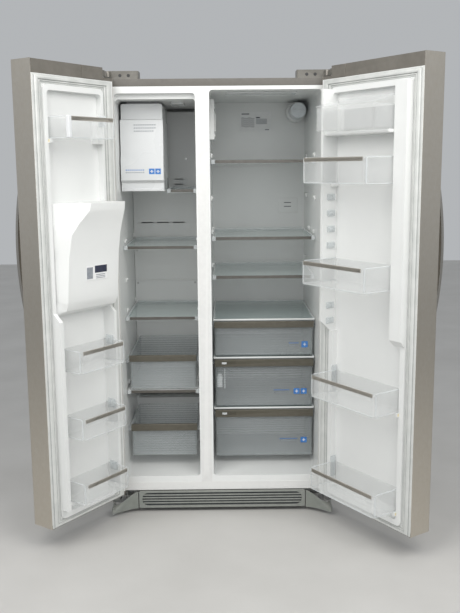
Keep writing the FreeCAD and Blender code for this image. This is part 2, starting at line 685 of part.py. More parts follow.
FRIDGE_BINS = [
    {"u0": 102, "u1": 402, "reach": 120, "bottom": 1535, "top": 1616},
    {"u0": 75, "u1": 402, "reach": 158, "bottom": 1350, "top": 1440},
    {"u0": 75, "u1": 402, "reach": 158, "bottom": 980, "top": 1065},
    {"u0": 90, "u1": 436, "reach": 124, "bottom": 545, "top": 628},
    {"u0": 88, "u1": 438, "reach": 120, "bottom": 173, "top": 255},
]
FREEZER_BINS = [
    {"u0": 104, "u1": 330, "reach": 105, "bottom": 1513, "top": 1585},
    {"u0": 77, "u1": 308, "reach": 95, "bottom": 680, "top": 760},
    {"u0": 77, "u1": 308, "reach": 95, "bottom": 430, "top": 506},
    {"u0": 77, "u1": 308, "reach": 95, "bottom": 180, "top": 256},
]


# Sections of the ice chute's housing: height, depth at the hinge side, then u and depth of the free corner.
CHUTE_HOUSING = [
    (888, 5, 322, 5), (906, 46, 314, 36), (940, 63, 318, 50), (1100, 72, 306, 52),
    (1178, 84, 300, 64), (1218, 95, 276, 77), (1264, 109, 240, 97), (1290, 112, 236, 100),
]


def chute_housing(grow):
    """Lofted housing over the ice chute, pushed in by grow."""
    wires = []
    for z, depth, corner_u, corner_depth in CHUTE_HOUSING:
        z = min(max(z, CHUTE_HOUSING[0][0] + grow), CHUTE_HOUSING[-1][0] - grow)
        outline = [
            (72, -ROOT), (72, depth - grow), (corner_u - grow, corner_depth - grow),
            (334 - grow, 4 - grow), (334 - grow, -ROOT),
        ]
        points = [Vector(-DOOR_HALF + u, -FACE_GAP + v, z) for u, v in outline]
        wires.append(Part.makePolygon(points + points[:1]))
    return Part.makeLoft(wires, True, True)


def freezer_relief(grow):
    """Foam side of the freezer door's liner, pushed in by grow, with the ice chute's housing."""
    core = door_box(-1, STEEL, FREEZER_W - STEEL, grow, 60, CAP_BOTTOM, CAP_TOP)
    dike = rounded_pad(-1, DIKE_HINGE + grow, FREEZER_W - DIKE_FREE - grow, -DIKE_RISE + grow, 60,
                       DIKE_BOTTOM + grow, DIKE_TOP - grow, 20 - grow)
    pocket = rounded_pad(-1, 74 - grow, 338 + grow, -80, POCKET_DEPTH + grow,
                         POCKET_BOTTOM - grow, POCKET_TOP + grow, 14 + grow)
    relief = fuse(
        cut(fuse(core, dike), pocket),
        chute_housing(grow),
        side_wall(-1, DIKE_HINGE, 74, FREEZER_WALL_RISE, WALL_BOTTOM, WALL_TOP, False, grow),
        side_wall(-1, 338, FREEZER_W - DIKE_FREE, FREEZER_WALL_RISE, WALL_BOTTOM, WALL_TOP, False, grow))
    funnel = rounded_pad(-1, 128 - grow, 224 + grow, -80 - grow, -26 + grow, 1246 - grow, 1300, 12 + grow)
    lugs = []
    for spec in FREEZER_BINS:
        lugs += [door_lug(-1, 74, spec["bottom"], grow), door_lug(-1, 338, spec["bottom"], grow)]
    for u0, u1, specs in ((72, 104 - grow, FREEZER_BINS[:1]), (306 + grow, 340, FREEZER_BINS[1:])):
        for spec in specs:
            z = spec["bottom"]
            lugs.append(door_box(-1, u0, u1, -LUG_RISE + grow, ROOT, z - LUG_TALL + grow, z - grow))
    return cut(fuse(relief, *lugs), funnel)


# ---- ice and water dispenser in the freezer door's outer face ----
RECESS = {"u0": 105.0, "u1": 290.0, "v0": 12.0, "z0": 930.0, "z1": 1150.0}
CHUTE = door_prism(-1, [(-74, 1248), (-30, 1248), (76, 1140), (24, 1140)], 162, 222)


def recess_box(grow, reach):
    return door_box(-1, RECESS["u0"] - grow, RECESS["u1"] + grow, RECESS["v0"] - grow, reach,
                    RECESS["z0"] - grow, RECESS["z1"] + grow)


def dispenser_housing():
    bezel = rounded_pad(-1, 95, 300, DOOR_THICK, DOOR_THICK + 4, 915, 1342, 10)
    tray = door_box(-1, 112, 283, 30, DOOR_THICK + 2, RECESS["z0"], RECESS["z0"] + 6)
    gaps = [door_box(-1, u, u + 5, 36, 94, RECESS["z0"] + 2, RECESS["z0"] + 9) for u in range(122, 276, 12)]
    shell = cut(fuse(recess_box(3, DOOR_THICK + 1), bezel), recess_box(0, DOOR_THICK + 20), CHUTE)
    low, high = PADDLE_Z - 6, PADDLE_Z + 6
    ears = [door_box(-1, u, u + 5, RECESS["v0"] - 1, PADDLE_V + 4, low, high) for u in (162.5, 216.5)]
    display = rounded_pad(-1, 116, 279, DOOR_THICK + 4, DOOR_THICK + 5.5, 1180, 1325, 6)
    return fuse(shell, cut(tray, *gaps), display, *ears)


FLAP_V = 84.0
FLAP_Z = 1146.0
PADDLE_V = 26.0
PADDLE_Z = 1096.0


def chute_flap():
    plate = door_box(-1, 158, 226, 20, FLAP_V, FLAP_Z, FLAP_Z + 3)
    return fuse(plate, door_rod(-1, 158, 226, FLAP_V, FLAP_Z, 3))


def dispenser_paddle():
    blade = door_box(-1, 168, 216, PADDLE_V - 2, PADDLE_V + 2, 1020, PADDLE_Z)
    return fuse(blade, door_rod(-1, 168, 216, PADDLE_V, PADDLE_Z, 4))


def door_gasket(side, width):
    """Flat base strip with a raised magnet bulb, both running round the door's inner face."""
    base = door_box(side, 10, width - 2, -3, 0, 99, 1728)
    base = cut(base, door_box(side, 60, width - 43, -9, 5, 121, 1699))
    bulb = door_box(side, 22.5, width - 4, -10, -3, 101, 1716)
    bulb = cut(bulb, door_box(side, 36.5, width - 20, -15, 5, 115, 1702))
    return fuse(base, bulb)


def door_bin(side, spec):
    near, far = -spec["reach"], POCKET_DEPTH - BIN_GAP
    outer = door_box(side, spec["u0"], spec["u1"], near, far, spec["bottom"], spec["top"])
    inner = door_box(side, spec["u0"] + CLEAR, spec["u1"] - CLEAR, near + CLEAR, far - CLEAR,
                     spec["bottom"] + CLEAR, spec["top"] + 5)
    return cut(rounded(outer, (0, 0, 1), 12), rounded(inner, (0, 0, 1), 12 - CLEAR))


LID_V = -8.0
LID_Z = 1650.0


def dairy_lid():
    spec = FRIDGE_BINS[0]
    edge_v, edge_z = -spec["reach"] - 2, spec["top"] + 2
    plate = [(LID_V, LID_Z + 1.5), (edge_v, edge_z + 3), (edge_v, edge_z), (LID_V, LID_Z - 1.5)]
    lid = door_prism(1, plate, spec["u0"], spec["u1"])
    return fuse(lid, door_rod(1, spec["u0"], spec["u1"], LID_V, LID_Z, 4))


def door_handle(side, width):
    """Bowed bar with its feet on the door's outer face, near the free edge."""
    mid_u = width - 46
    foot, reach = DOOR_THICK, DOOR_THICK + 58
    low, high, thick = 792.0, 1438.0, 15.0
    middle = (low + high) / 2
    y_of = lambda v: -FACE_GAP - v
    x = side * (DOOR_HALF - mid_u) - 13
    a, b, c, d = [Vector(x, y_of(foot), z) for z in (low, high, high - 42, low + 42)]
    outer = Part.Arc(a, Vector(x, y_of(reach), middle), b).toShape()
    inner = Part.Arc(c, Vector(x, y_of(reach - thick), middle), d).toShape()
    wire = Part.Wire([outer, Part.makeLine(b, c), inner, Part.makeLine(d, a)])
    return Part.Face(wire).extrude(Vector(26, 0, 0))


# ---- build everything ----
freezer_inner, freezer_outer = freezer_cavity(0), freezer_cavity(PLASTIC)
fridge_inner, fridge_outer = fridge_cavity(0), fridge_cavity(PLASTIC)
save("cabinet_wrap", cabinet_wrap())
save("freezer_liner", liner(freezer_inner, freezer_outer, -FLANGE_HALF, MULLION - 0.5))
save("fridge_liner", liner(fridge_inner, fridge_outer, MULLION + 0.5, FLANGE_HALF))
save("cabinet_foam", cabinet_foam(freezer_outer, fridge_outer))
save("front_rails", front_rails())
save("back_panels", *back_panels())
save("base_frame", base_frame())
save("levelling_legs", levelling_leg(-1), levelling_leg(1))
save("rear_roller_left", roller(-1))
save("rear_roller_right", roller(1))
save("toe_grille", toe_grille())
save("hinge_brackets", top_hinge(), mirrored(top_hinge()), lower_hinge(), mirrored(lower_hinge()))
save("hinge_covers", hinge_cover(), mirrored(hinge_cover()), corner_cover(), mirrored(corner_cover()))
save("compressor", compressor())
save("condenser", condenser())
save("fan_motors", condenser_motor(), freezer_fan_motor())
save("condenser_fan_blade", fan_blade(CONDENSER_FAN, "x", 74, 16))
save("freezer_fan_blade", fan_blade(FREEZER_FAN, "y", 54, 14))
save("drain_pan", drain_pan())
save("evaporator", evaporator())
save("evaporator_cover", evaporator_cover())
save("ice_housing", ice_housing())
save("ice_bin", ice_bin())
save("ice_auger", ice_auger())

shelves = [shelf(FREEZER_LEFT + 3, FREEZER_RIGHT - 3, top, 140, 545) for top in FREEZER_SHELVES]
shelves.append(shelf(ICE_RIGHT + 5, FREEZER_RIGHT - 3, 1322, 200, 545))
for top in FRIDGE_SHELVES:
    shelves.append(shelf(FRIDGE_LEFT + 3, FRIDGE_RIGHT - 3, top, SHELF_FRONT, SHELF_BACK))
for top in DRAWER_COVERS:
    back = SHELF_BACK if top > HUMP_TOP + 100 else HUMP_FRONT + 10
    shelves.append(shelf(FRIDGE_LEFT + 3, FRIDGE_RIGHT - 3, top, DRAWER_FRONT + 2, back, 8, 2))
save("shelf_glass", *[glass for glass, frame in shelves])
save("shelf_frames", *[frame for glass, frame in shelves], *drawer_rails())
save("slotted_shelf", slotted_shelf(488))

for name, spec in BASKETS.items():
    front = BASKET_FRONT + 12
    save(name, tub(BASKET_LEFT + 2, BASKET_RIGHT - 2, front, spec["back"], spec["bottom"], spec["top"] - 2))
    save(name + "_trim", slide_trim(spec, BASKET_LEFT, BASKET_RIGHT, BASKET_FRONT, False))
for name, spec in DRAWERS.items():
    front = DRAWER_FRONT + 12
    save(name, tub(DRAWER_LEFT + 2, DRAWER_RIGHT - 2, front, spec["back"], spec["bottom"], spec["top"] - 2))
    has_slider = name != "deli_drawer"
    save(name + "_trim", slide_trim(spec, DRAWER_LEFT, DRAWER_RIGHT, DRAWER_FRONT, has_slider))
    if has_slider:
        save(name + "_slider", humidity_slider(spec))

save("fridge_housings", air_damper(), filter_housing())
save("water_filter", water_filter())
save("ceiling_lights", *ceiling_lights())

DOORS = {
    "freezer": (-1, FREEZER_W, freezer_relief, FREEZER_BINS),
    "fridge": (1, FRIDGE_W, fridge_relief, FRIDGE_BINS),
}
for name, (side, width, relief, bins) in DOORS.items():
    through = recess_box(3, DOOR_THICK + 20) if side < 0 else None
    surface, backing = relief(0), relief(PLASTIC)
    skin = cut(surface, backing)
    foam = fuse(backing, slab(side, width, STEEL, 50, CAP_BOTTOM, CAP_TOP))
    if side < 0:
        skin = cut(skin, CHUTE)
        foam = cut(foam, through, CHUTE)
    save(name + "_door_panel", open_door(door_panel(side, width, through), side))
    save(name + "_door_caps", *[open_door(cap, side) for cap in door_caps(side, width)])
    save(name + "_door_foam", open_door(foam, side))
    save(name + "_door_liner", open_door(skin, side))
    save(name + "_door_gasket", open_door(door_gasket(side, width), side))
    save(name + "_door_handle", open_door(door_handle(side, width), side))
    save(name + "_door_bins", *[open_door(door_bin(side, spec), side) for spec in bins])
save("dispenser_housing", open_door(dispenser_housing(), -1))
save("chute_flap", open_door(chute_flap(), -1))
save("dispenser_paddle", open_door(dispenser_paddle(), -1))
save("dairy_lid", open_door(dairy_lid(), 1))
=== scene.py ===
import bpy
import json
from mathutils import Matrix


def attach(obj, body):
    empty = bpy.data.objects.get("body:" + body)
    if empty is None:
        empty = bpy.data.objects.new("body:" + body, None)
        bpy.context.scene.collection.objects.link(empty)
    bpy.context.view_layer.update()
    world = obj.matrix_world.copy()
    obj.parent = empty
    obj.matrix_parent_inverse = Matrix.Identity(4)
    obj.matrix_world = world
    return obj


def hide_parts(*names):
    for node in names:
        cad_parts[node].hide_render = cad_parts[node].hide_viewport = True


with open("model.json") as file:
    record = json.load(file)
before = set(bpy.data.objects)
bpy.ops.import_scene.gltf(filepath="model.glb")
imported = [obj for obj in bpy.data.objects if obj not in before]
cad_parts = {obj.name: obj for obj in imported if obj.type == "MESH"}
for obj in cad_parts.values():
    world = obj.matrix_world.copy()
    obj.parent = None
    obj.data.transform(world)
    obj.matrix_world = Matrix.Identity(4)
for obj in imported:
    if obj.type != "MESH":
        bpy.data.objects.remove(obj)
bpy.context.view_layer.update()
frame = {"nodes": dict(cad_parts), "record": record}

import json
import math

import bmesh
import bpy
from mathutils import Matrix, Vector

# Side by side refrigerator with both doors open. Metres, +X right, +Y back, +Z up.

# ---- measures shared with the fixed model ----
DOOR_HALF = 0.4555
FACE_GAP = 0.012
PIN_X = 0.4355
PIN_Y = -0.048
DOOR_TURN = {-1: math.radians(-125.4), 1: math.radians(123.6)}
DOOR_WIDTH = {-1: 0.398, 1: 0.508}
DOOR_NAME = {-1: "freezer_door", 1: "fridge_door"}
FREEZER_LEFT, FREEZER_RIGHT = -0.397, -0.088
FRIDGE_LEFT, FRIDGE_RIGHT = -0.034, 0.397
LINER_BACK = 0.645
COVER_PLATE = 0.553
BIN_FLOOR_V = 0.0135
# Each door bin: near and far u, reach from the door, bottom and top.
FRIDGE_BINS = [
    (0.075, 0.402, 0.158, 1.350, 1.440),
    (0.075, 0.402, 0.158, 0.980, 1.065),
    (0.090, 0.436, 0.124, 0.545, 0.628),
    (0.088, 0.438, 0.120, 0.173, 0.255),
]
FREEZER_BINS = [
    (0.104, 0.330, 0.105, 1.513, 1.585),
    (0.077, 0.308, 0.095, 0.680, 0.760),
    (0.077, 0.308, 0.095, 0.430, 0.506),
    (0.077, 0.308, 0.095, 0.180, 0.256),
]
FRIDGE_SHELVES = [1.439, 1.127, 0.966]
DRAWER_COVERS = [0.786, 0.624, 0.405]
FREEZER_SHELVES = [1.093, 0.797]

made_materials = {}


# ---- shared shader effects ----
def new_group(name, inputs, outputs):
    group = bpy.data.node_groups.new(name, "ShaderNodeTree")
    for label, kind, value in inputs:
        socket = group.interface.new_socket(name=label, in_out="INPUT", socket_type=kind)
        socket.default_value = value
    for label, kind in outputs:
        group.interface.new_socket(name=label, in_out="OUTPUT", socket_type=kind)
    return group, group.nodes.new("NodeGroupInput"), group.nodes.new("NodeGroupOutput")


def surface_grain_group():
    """Noise stretched along any axis, spread between a low and a high value."""
    group, given, result = new_group(
        "surface_grain",
        [
            ("Stretch", "NodeSocketVector", (1, 1, 1)),
            ("Scale", "NodeSocketFloat", 400.0),
            ("Detail", "NodeSocketFloat", 3.0),
            ("Low", "NodeSocketFloat", 0.0),
            ("High", "NodeSocketFloat", 1.0),
        ],
        [("Value", "NodeSocketFloat")],
    )
    place = group.nodes.new("ShaderNodeTexCoord")
    stretch = group.nodes.new("ShaderNodeMapping")
    noise = group.nodes.new("ShaderNodeTexNoise")
    spread = group.nodes.new("ShaderNodeMapRange")
    spread.inputs["From Min"].default_value = 0.32
    spread.inputs["From Max"].default_value = 0.68
    link = group.links.new
    link(place.outputs["Object"], stretch.inputs["Vector"])
    link(given.outputs["Stretch"], stretch.inputs["Scale"])
    link(stretch.outputs["Vector"], noise.inputs["Vector"])
    link(given.outputs["Scale"], noise.inputs["Scale"])
    link(given.outputs["Detail"], noise.inputs["Detail"])
    link(noise.outputs["Fac"], spread.inputs["Value"])
    link(given.outputs["Low"], spread.inputs["To Min"])
    link(given.outputs["High"], spread.inputs["To Max"])
    link(spread.outputs["Result"], result.inputs["Value"])
    return group


def edge_wear_and_highlight_group():
    """Marks the sharp outer edges, broken up by noise: partly edge wear, partly a painted highlight."""
    group, given, result = new_group(
        "edge_wear_and_highlight",
        [("Amount", "NodeSocketFloat", 0.5), ("Scale", "NodeSocketFloat", 60.0)],
        [("Mask", "NodeSocketFloat")],
    )
    shape = group.nodes.new("ShaderNodeNewGeometry")
    sharp = group.nodes.new("ShaderNodeMapRange")
    sharp.inputs["From Min"].default_value = 0.52
    sharp.inputs["From Max"].default_value = 0.62
    place = group.nodes.new("ShaderNodeTexCoord")
    noise = group.nodes.new("ShaderNodeTexNoise")
    broken = group.nodes.new("ShaderNodeMath")
    broken.operation = "MULTIPLY"
    amount = group.nodes.new("ShaderNodeMath")
    amount.operation = "MULTIPLY"
    link = group.links.new
    link(shape.outputs["Pointiness"], sharp.inputs["Value"])
    link(place.outputs["Object"], noise.inputs["Vector"])
    link(given.outputs["Scale"], noise.inputs["Scale"])
    link(sharp.outputs["Result"], broken.inputs[0])
    link(noise.outputs["Fac"], broken.inputs[1])
    link(broken.outputs["Value"], amount.inputs[0])
    link(given.outputs["Amount"], amount.inputs[1])
    link(amount.outputs["Value"], result.inputs["Mask"])
    return group


def settled_dust_group():
    """Dust that lies on upward faces, in soft patches."""
    group, given, result = new_group(
        "settled_dust",
        [("Amount", "NodeSocketFloat", 0.3), ("Scale", "NodeSocketFloat", 9.0)],
        [("Mask", "NodeSocketFloat")],
    )
    shape = group.nodes.new("ShaderNodeNewGeometry")
    axes = group.nodes.new("ShaderNodeSeparateXYZ")
    upward = group.nodes.new("ShaderNodeMapRange")
    upward.inputs["From Min"].default_value = 0.3
    upward.inputs["From Max"].default_value = 1.0
    place = group.nodes.new("ShaderNodeTexCoord")
    noise = group.nodes.new("ShaderNodeTexNoise")
    noise.inputs["Detail"].default_value = 6.0
    patches = group.nodes.new("ShaderNodeMath")
    patches.operation = "MULTIPLY"
    amount = group.nodes.new("ShaderNodeMath")
    amount.operation = "MULTIPLY"
    link = group.links.new
    link(shape.outputs["Normal"], axes.inputs["Vector"])
    link(axes.outputs["Z"], upward.inputs["Value"])
    link(place.outputs["Object"], noise.inputs["Vector"])
    link(given.outputs["Scale"], noise.inputs["Scale"])
    link(upward.outputs["Result"], patches.inputs[0])
    link(noise.outputs["Fac"], patches.inputs[1])
    link(patches.outputs["Value"], amount.inputs[0])
    link(given.outputs["Amount"], amount.inputs[1])
    link(amount.outputs["Value"], result.inputs["Mask"])
    return group


surface_grain = surface_grain_group()
edge_wear_and_highlight = edge_wear_and_highlight_group()
settled_dust = settled_dust_group()


# ---- finishes ----
DUST_COLOUR = (0.62, 0.6, 0.56)


def placed_group(tree, group, **values):
    node = tree.nodes.new("ShaderNodeGroup")
    node.node_tree = group
    for label, value in values.items():
        node.inputs[label].default_value = value
    return node


def mixed(tree, first, second, mask):
    """Mixes two colours by a mask socket. Either colour may be a socket."""
    node = tree.nodes.new("ShaderNodeMix")
    node.data_type = "RGBA"
    for socket, colour in ((node.inputs["A"], first), (node.inputs["B"], second)):
        if isinstance(colour, tuple):
            socket.default_value = (*colour, 1)
        else:
            tree.links.new(colour, socket)
    tree.links.new(mask, node.inputs["Factor"])
    return node.outputs["Result"]


def finish_of(name, colour, tint, grain, rough, relief, dust=0.0, wear_and_highlight=None, fixed=None):
    """A finish with its colour variation, roughness grain and fine relief.

    grain is (stretch, scale, detail) of the colour and roughness grain, and relief is
    (stretch, scale, depth) of the surface's texture.
    """
    material = bpy.data.materials.new(name)
    material.use_nodes = True
    tree = material.node_tree
    shader = tree.nodes["Principled BSDF"]
    stretch, scale, detail = grain
    patch = placed_group(tree, surface_grain, Stretch=stretch, Scale=scale, Detail=detail)
    look = mixed(tree, colour, tint, patch.outputs["Value"])
    # Sharp edges take the edge colour: partly real wear, and where it is lighter than the base, a painted
    # highlight.
    if wear_and_highlight:
        wear_and_highlight_mask = placed_group(tree, edge_wear_and_highlight, Amount=wear_and_highlight[1])
        look = mixed(tree, look, wear_and_highlight[0], wear_and_highlight_mask.outputs["Mask"])
    if dust:
        film = placed_group(tree, settled_dust, Amount=dust)
        look = mixed(tree, look, DUST_COLOUR, film.outputs["Mask"])
    tree.links.new(look, shader.inputs["Base Color"])
    gloss = placed_group(
        tree, surface_grain, Stretch=stretch, Scale=scale * 0.7, Detail=detail, Low=rough[0], High=rough[1])
    tree.links.new(gloss.outputs["Value"], shader.inputs["Roughness"])
    texture = placed_group(tree, surface_grain, Stretch=relief[0], Scale=relief[1], Detail=2.0)
    bump = tree.nodes.new("ShaderNodeBump")
    bump.inputs["Distance"].default_value = relief[2]
    tree.links.new(texture.outputs["Value"], bump.inputs["Height"])
    tree.links.new(bump.outputs["Normal"], shader.inputs["Normal"])
    for label, value in (fixed or {}).items():
        shader.inputs[label].default_value = value
    made_materials[name] = material
    return material


EVEN = (1, 1, 1)
UPRIGHT = (1, 1, 0.03)
LEVEL = (0.03, 0.03, 1)

door_steel = finish_of(
    "brushed_door_steel", (0.57, 0.522, 0.445), (0.62, 0.572, 0.495), ((1, 1, 0.12), 620, 5), (0.30, 0.40),
    (UPRIGHT, 900, 0.00004), wear_and_highlight=((0.7, 0.68, 0.64), 0.4), fixed={"Metallic": 1.0, "Anisotropic": 0.4})
handle_steel = finish_of(
    "brushed_handle_steel", (0.38, 0.36, 0.33), (0.46, 0.44, 0.40), (UPRIGHT, 420, 4), (0.22, 0.34),
    (UPRIGHT, 1200, 0.00003), wear_and_highlight=((0.72, 0.7, 0.66), 0.5), fixed={"Metallic": 1.0, "Anisotropic": 0.3})
cap_plastic = finish_of(
    "taupe_cap_plastic", (0.128, 0.118, 0.100), (0.150, 0.139, 0.119), (EVEN, 14, 4), (0.38, 0.5),
    (EVEN, 2600, 0.00005), dust=0.25, wear_and_highlight=((0.34, 0.32, 0.29), 0.4))
cabinet_paint = finish_of(
    "cabinet_paint", (0.108, 0.100, 0.087), (0.122, 0.114, 0.100), (EVEN, 6, 5), (0.36, 0.5),
    (EVEN, 900, 0.00012), dust=0.5, wear_and_highlight=((0.4, 0.38, 0.35), 0.4), fixed={"Coat Weight": 0.15})
white_liner = finish_of(
    "white_liner", (0.80, 0.81, 0.80), (0.815, 0.825, 0.813), (EVEN, 9, 5), (0.29, 0.35),
    (EVEN, 700, 0.00006), dust=0.012,
    fixed={"Specular IOR Level": 0.45, "Coat Weight": 0.12, "Coat Roughness": 0.2})
ice_white = finish_of(
    "ice_unit_white", (0.66, 0.675, 0.68), (0.69, 0.705, 0.71), (EVEN, 8, 3), (0.24, 0.36),
    (EVEN, 1500, 0.00004), fixed={"Coat Weight": 0.1})
white_rail = finish_of(
    "white_rail_paint", (0.78, 0.785, 0.77), (0.83, 0.83, 0.815), (EVEN, 8, 4), (0.28, 0.42),
    (EVEN, 1100, 0.00008), wear_and_highlight=((0.5, 0.5, 0.5), 0.3))
seal_rubber = finish_of(
    "soft_seal_rubber", (0.60, 0.615, 0.595), (0.68, 0.69, 0.67), (EVEN, 22, 5), (0.42, 0.6),
    (EVEN, 1800, 0.00008), dust=0.1)
# Darker rubber for the seal's groove faces: painted shade in the folds of the seal.
seal_groove_shade = finish_of(
    "seal_groove_painted_shade", (0.33, 0.345, 0.335), (0.42, 0.43, 0.42), (EVEN, 22, 5), (0.55, 0.7),
    (EVEN, 1800, 0.00008))
taupe_metal = finish_of(
    "taupe_trim_metal", (0.092, 0.084, 0.063), (0.124, 0.114, 0.088), (LEVEL, 700, 4), (0.28, 0.42),
    (LEVEL, 1500, 0.00003), wear_and_highlight=((0.5, 0.47, 0.42), 0.5), fixed={"Metallic": 0.45})
# A much lighter copy of the trim metal: painted light on the door bin bars, and a painted highlight on the
# hinge drums.
bin_bar_painted_light_metal = finish_of(
    "bin_bar_painted_light_metal", (0.36, 0.335, 0.295), (0.42, 0.395, 0.352), (LEVEL, 700, 4), (0.26, 0.38),
    (LEVEL, 1500, 0.00003), wear_and_highlight=((0.6, 0.57, 0.52), 0.5), fixed={"Metallic": 0.35})
shelf_bar_metal = finish_of(
    "shelf_bar_metal", (0.090, 0.084, 0.074), (0.122, 0.114, 0.102), (LEVEL, 700, 4), (0.28, 0.42),
    (LEVEL, 1500, 0.00003), wear_and_highlight=((0.45, 0.43, 0.4), 0.4), fixed={"Metallic": 0.5})
grille_plastic = finish_of(
    "grille_grey_plastic", (0.235, 0.25, 0.225), (0.275, 0.29, 0.265), (EVEN, 30, 5), (0.4, 0.55),
    (EVEN, 2200, 0.00008), dust=0.4, wear_and_highlight=((0.42, 0.42, 0.41), 0.4))
cover_plastic = finish_of(
    "hinge_cover_plastic", (0.122, 0.115, 0.098), (0.150, 0.142, 0.123), (EVEN, 26, 4), (0.3, 0.42),
    (EVEN, 2200, 0.00005), dust=0.3, wear_and_highlight=((0.45, 0.44, 0.42), 0.5))
zinc_steel = finish_of(
    "zinc_plated_steel", (0.42, 0.43, 0.43), (0.6, 0.6, 0.58), (EVEN, 70, 6), (0.28, 0.5),
    (EVEN, 500, 0.00006), dust=0.3, wear_and_highlight=((0.75, 0.75, 0.73), 0.5), fixed={"Metallic": 0.85})
dark_plastic = finish_of(
    "dark_plastic", (0.02, 0.02, 0.021), (0.035, 0.035, 0.035), (EVEN, 60, 5), (0.45, 0.62),
    (EVEN, 2000, 0.0001), dust=0.35, wear_and_highlight=((0.12, 0.12, 0.12), 0.5))
black_enamel = finish_of(
    "black_enamel", (0.012, 0.012, 0.013), (0.022, 0.022, 0.022), (EVEN, 40, 5), (0.22, 0.4),
    (EVEN, 350, 0.0001), dust=0.45, wear_and_highlight=((0.1, 0.1, 0.1), 0.5), fixed={"Coat Weight": 0.4})
bare_aluminium = finish_of(
    "bare_aluminium", (0.6, 0.61, 0.62), (0.72, 0.72, 0.72), (EVEN, 80, 5), (0.3, 0.5),
    (EVEN, 900, 0.00005), fixed={"Metallic": 1.0})
foam_fill = finish_of(
    "insulation_foam", (0.72, 0.62, 0.36), (0.82, 0.73, 0.48), (EVEN, 90, 6), (0.8, 0.95),
    (EVEN, 500, 0.0006))
slider_white = finish_of(
    "slider_white", (0.72, 0.74, 0.75), (0.78, 0.79, 0.8), (EVEN, 40, 3), (0.3, 0.42), (EVEN, 1800, 0.00005))
filter_white = finish_of(
    "filter_white", (0.66, 0.7, 0.73), (0.72, 0.76, 0.78), (EVEN, 24, 3), (0.26, 0.36),
    (EVEN, 1800, 0.00005), fixed={"Coat Weight": 0.2})
dispenser_grey = finish_of(
    "dispenser_grey", (0.035, 0.036, 0.038), (0.05, 0.051, 0.053), (EVEN, 30, 4), (0.22, 0.34),
    (EVEN, 1500, 0.00004), wear_and_highlight=((0.14, 0.14, 0.14), 0.4), fixed={"Coat Weight": 0.3})
paper_white = finish_of(
    "label_paper", (0.82, 0.83, 0.83), (0.87, 0.87, 0.87), (EVEN, 50, 4), (0.5, 0.62), (EVEN, 1500, 0.00004))
print_grey = finish_of(
    "label_print_grey", (0.25, 0.27, 0.3), (0.33, 0.35, 0.38), (EVEN, 90, 3), (0.5, 0.6),
    (EVEN, 1500, 0.00003))
print_blue = finish_of(
    "label_print_blue", (0.03, 0.17, 0.52), (0.05, 0.22, 0.6), (EVEN, 90, 3), (0.4, 0.5),
    (EVEN, 1500, 0.00003))
print_dark = finish_of(
    "label_print_dark", (0.02, 0.025, 0.05), (0.035, 0.04, 0.07), (EVEN, 90, 3), (0.4, 0.5),
    (EVEN, 1500, 0.00003))
slot_shadow = finish_of(
    "slot_dark", (0.03, 0.035, 0.04), (0.05, 0.055, 0.06), (EVEN, 60, 3), (0.6, 0.7),
    (EVEN, 1500, 0.00003))


# Rib crests are drawn darker and less see-through: painted shade along the moulded ribs.
RIB_PAINTED_SHADE = 0.84
RIB_COVER = 0.14


def clear_finish(name, body_colour, least, most, ribs=None):
    """Clear moulded plastic or glass: almost open face on, and its own colour edge on.

    least and most say how much it covers, and ribs is the scale of level moulded ribs, whose crests carry
    painted shade.
    """
    material = bpy.data.materials.new(name)
    material.use_nodes = True
    tree = material.node_tree
    shader = tree.nodes["Principled BSDF"]
    link = tree.links.new
    patch = placed_group(tree, surface_grain, Stretch=EVEN, Scale=35, Detail=4)
    tint = tuple(0.93 * part for part in body_colour)
    link(mixed(tree, body_colour, tint, patch.outputs["Value"]), shader.inputs["Base Color"])
    gloss = placed_group(tree, surface_grain, Stretch=EVEN, Scale=60, Detail=4, Low=0.06, High=0.14)
    link(gloss.outputs["Value"], shader.inputs["Roughness"])
    bump = tree.nodes.new("ShaderNodeBump")
    bump.inputs["Distance"].default_value = 0.0002
    if ribs:
        place = tree.nodes.new("ShaderNodeTexCoord")
        wave = tree.nodes.new("ShaderNodeTexWave")
        wave.bands_direction = "Z"
        wave.inputs["Scale"].default_value = ribs
        link(place.outputs["Object"], wave.inputs["Vector"])
        crest = tree.nodes.new("ShaderNodeMapRange")
        crest.inputs["From Min"].default_value = 0.45
        link(wave.outputs["Fac"], crest.inputs["Value"])
        link(crest.outputs["Result"], bump.inputs["Height"])
        bump.inputs["Distance"].default_value = 0.0005
        # Darker colour on the rib crests: painted shade.
        shade = tuple(RIB_PAINTED_SHADE * part for part in body_colour)
        link(mixed(tree, body_colour, shade, crest.outputs["Result"]), shader.inputs["Base Color"])
    else:
        link(patch.outputs["Value"], bump.inputs["Height"])
    link(bump.outputs["Normal"], shader.inputs["Normal"])
    shader.inputs["Specular IOR Level"].default_value = 0.8
    facing = tree.nodes.new("ShaderNodeLayerWeight")
    facing.inputs["Blend"].default_value = 0.35
    solid = tree.nodes.new("ShaderNodeMapRange")
    solid.inputs["To Min"].default_value = least
    solid.inputs["To Max"].default_value = most
    link(facing.outputs["Facing"], solid.inputs["Value"])
    see_through = tree.nodes.new("ShaderNodeBsdfTransparent")
    blend = tree.nodes.new("ShaderNodeMixShader")
    if ribs:
        ribbed = tree.nodes.new("ShaderNodeMath")
        ribbed.operation = "MULTIPLY_ADD"
        ribbed.inputs[1].default_value = RIB_COVER
        ribbed.use_clamp = True
        link(crest.outputs["Result"], ribbed.inputs[0])
        link(solid.outputs["Result"], ribbed.inputs[2])
        link(ribbed.outputs["Value"], blend.inputs["Fac"])
    else:
        link(solid.outputs["Result"], blend.inputs["Fac"])
    link(see_through.outputs["BSDF"], blend.inputs[1])
    link(shader.outputs["BSDF"], blend.inputs[2])
    link(blend.outputs["Shader"], tree.nodes["Material Output"].inputs["Surface"])
    made_materials[name] = material
    return material


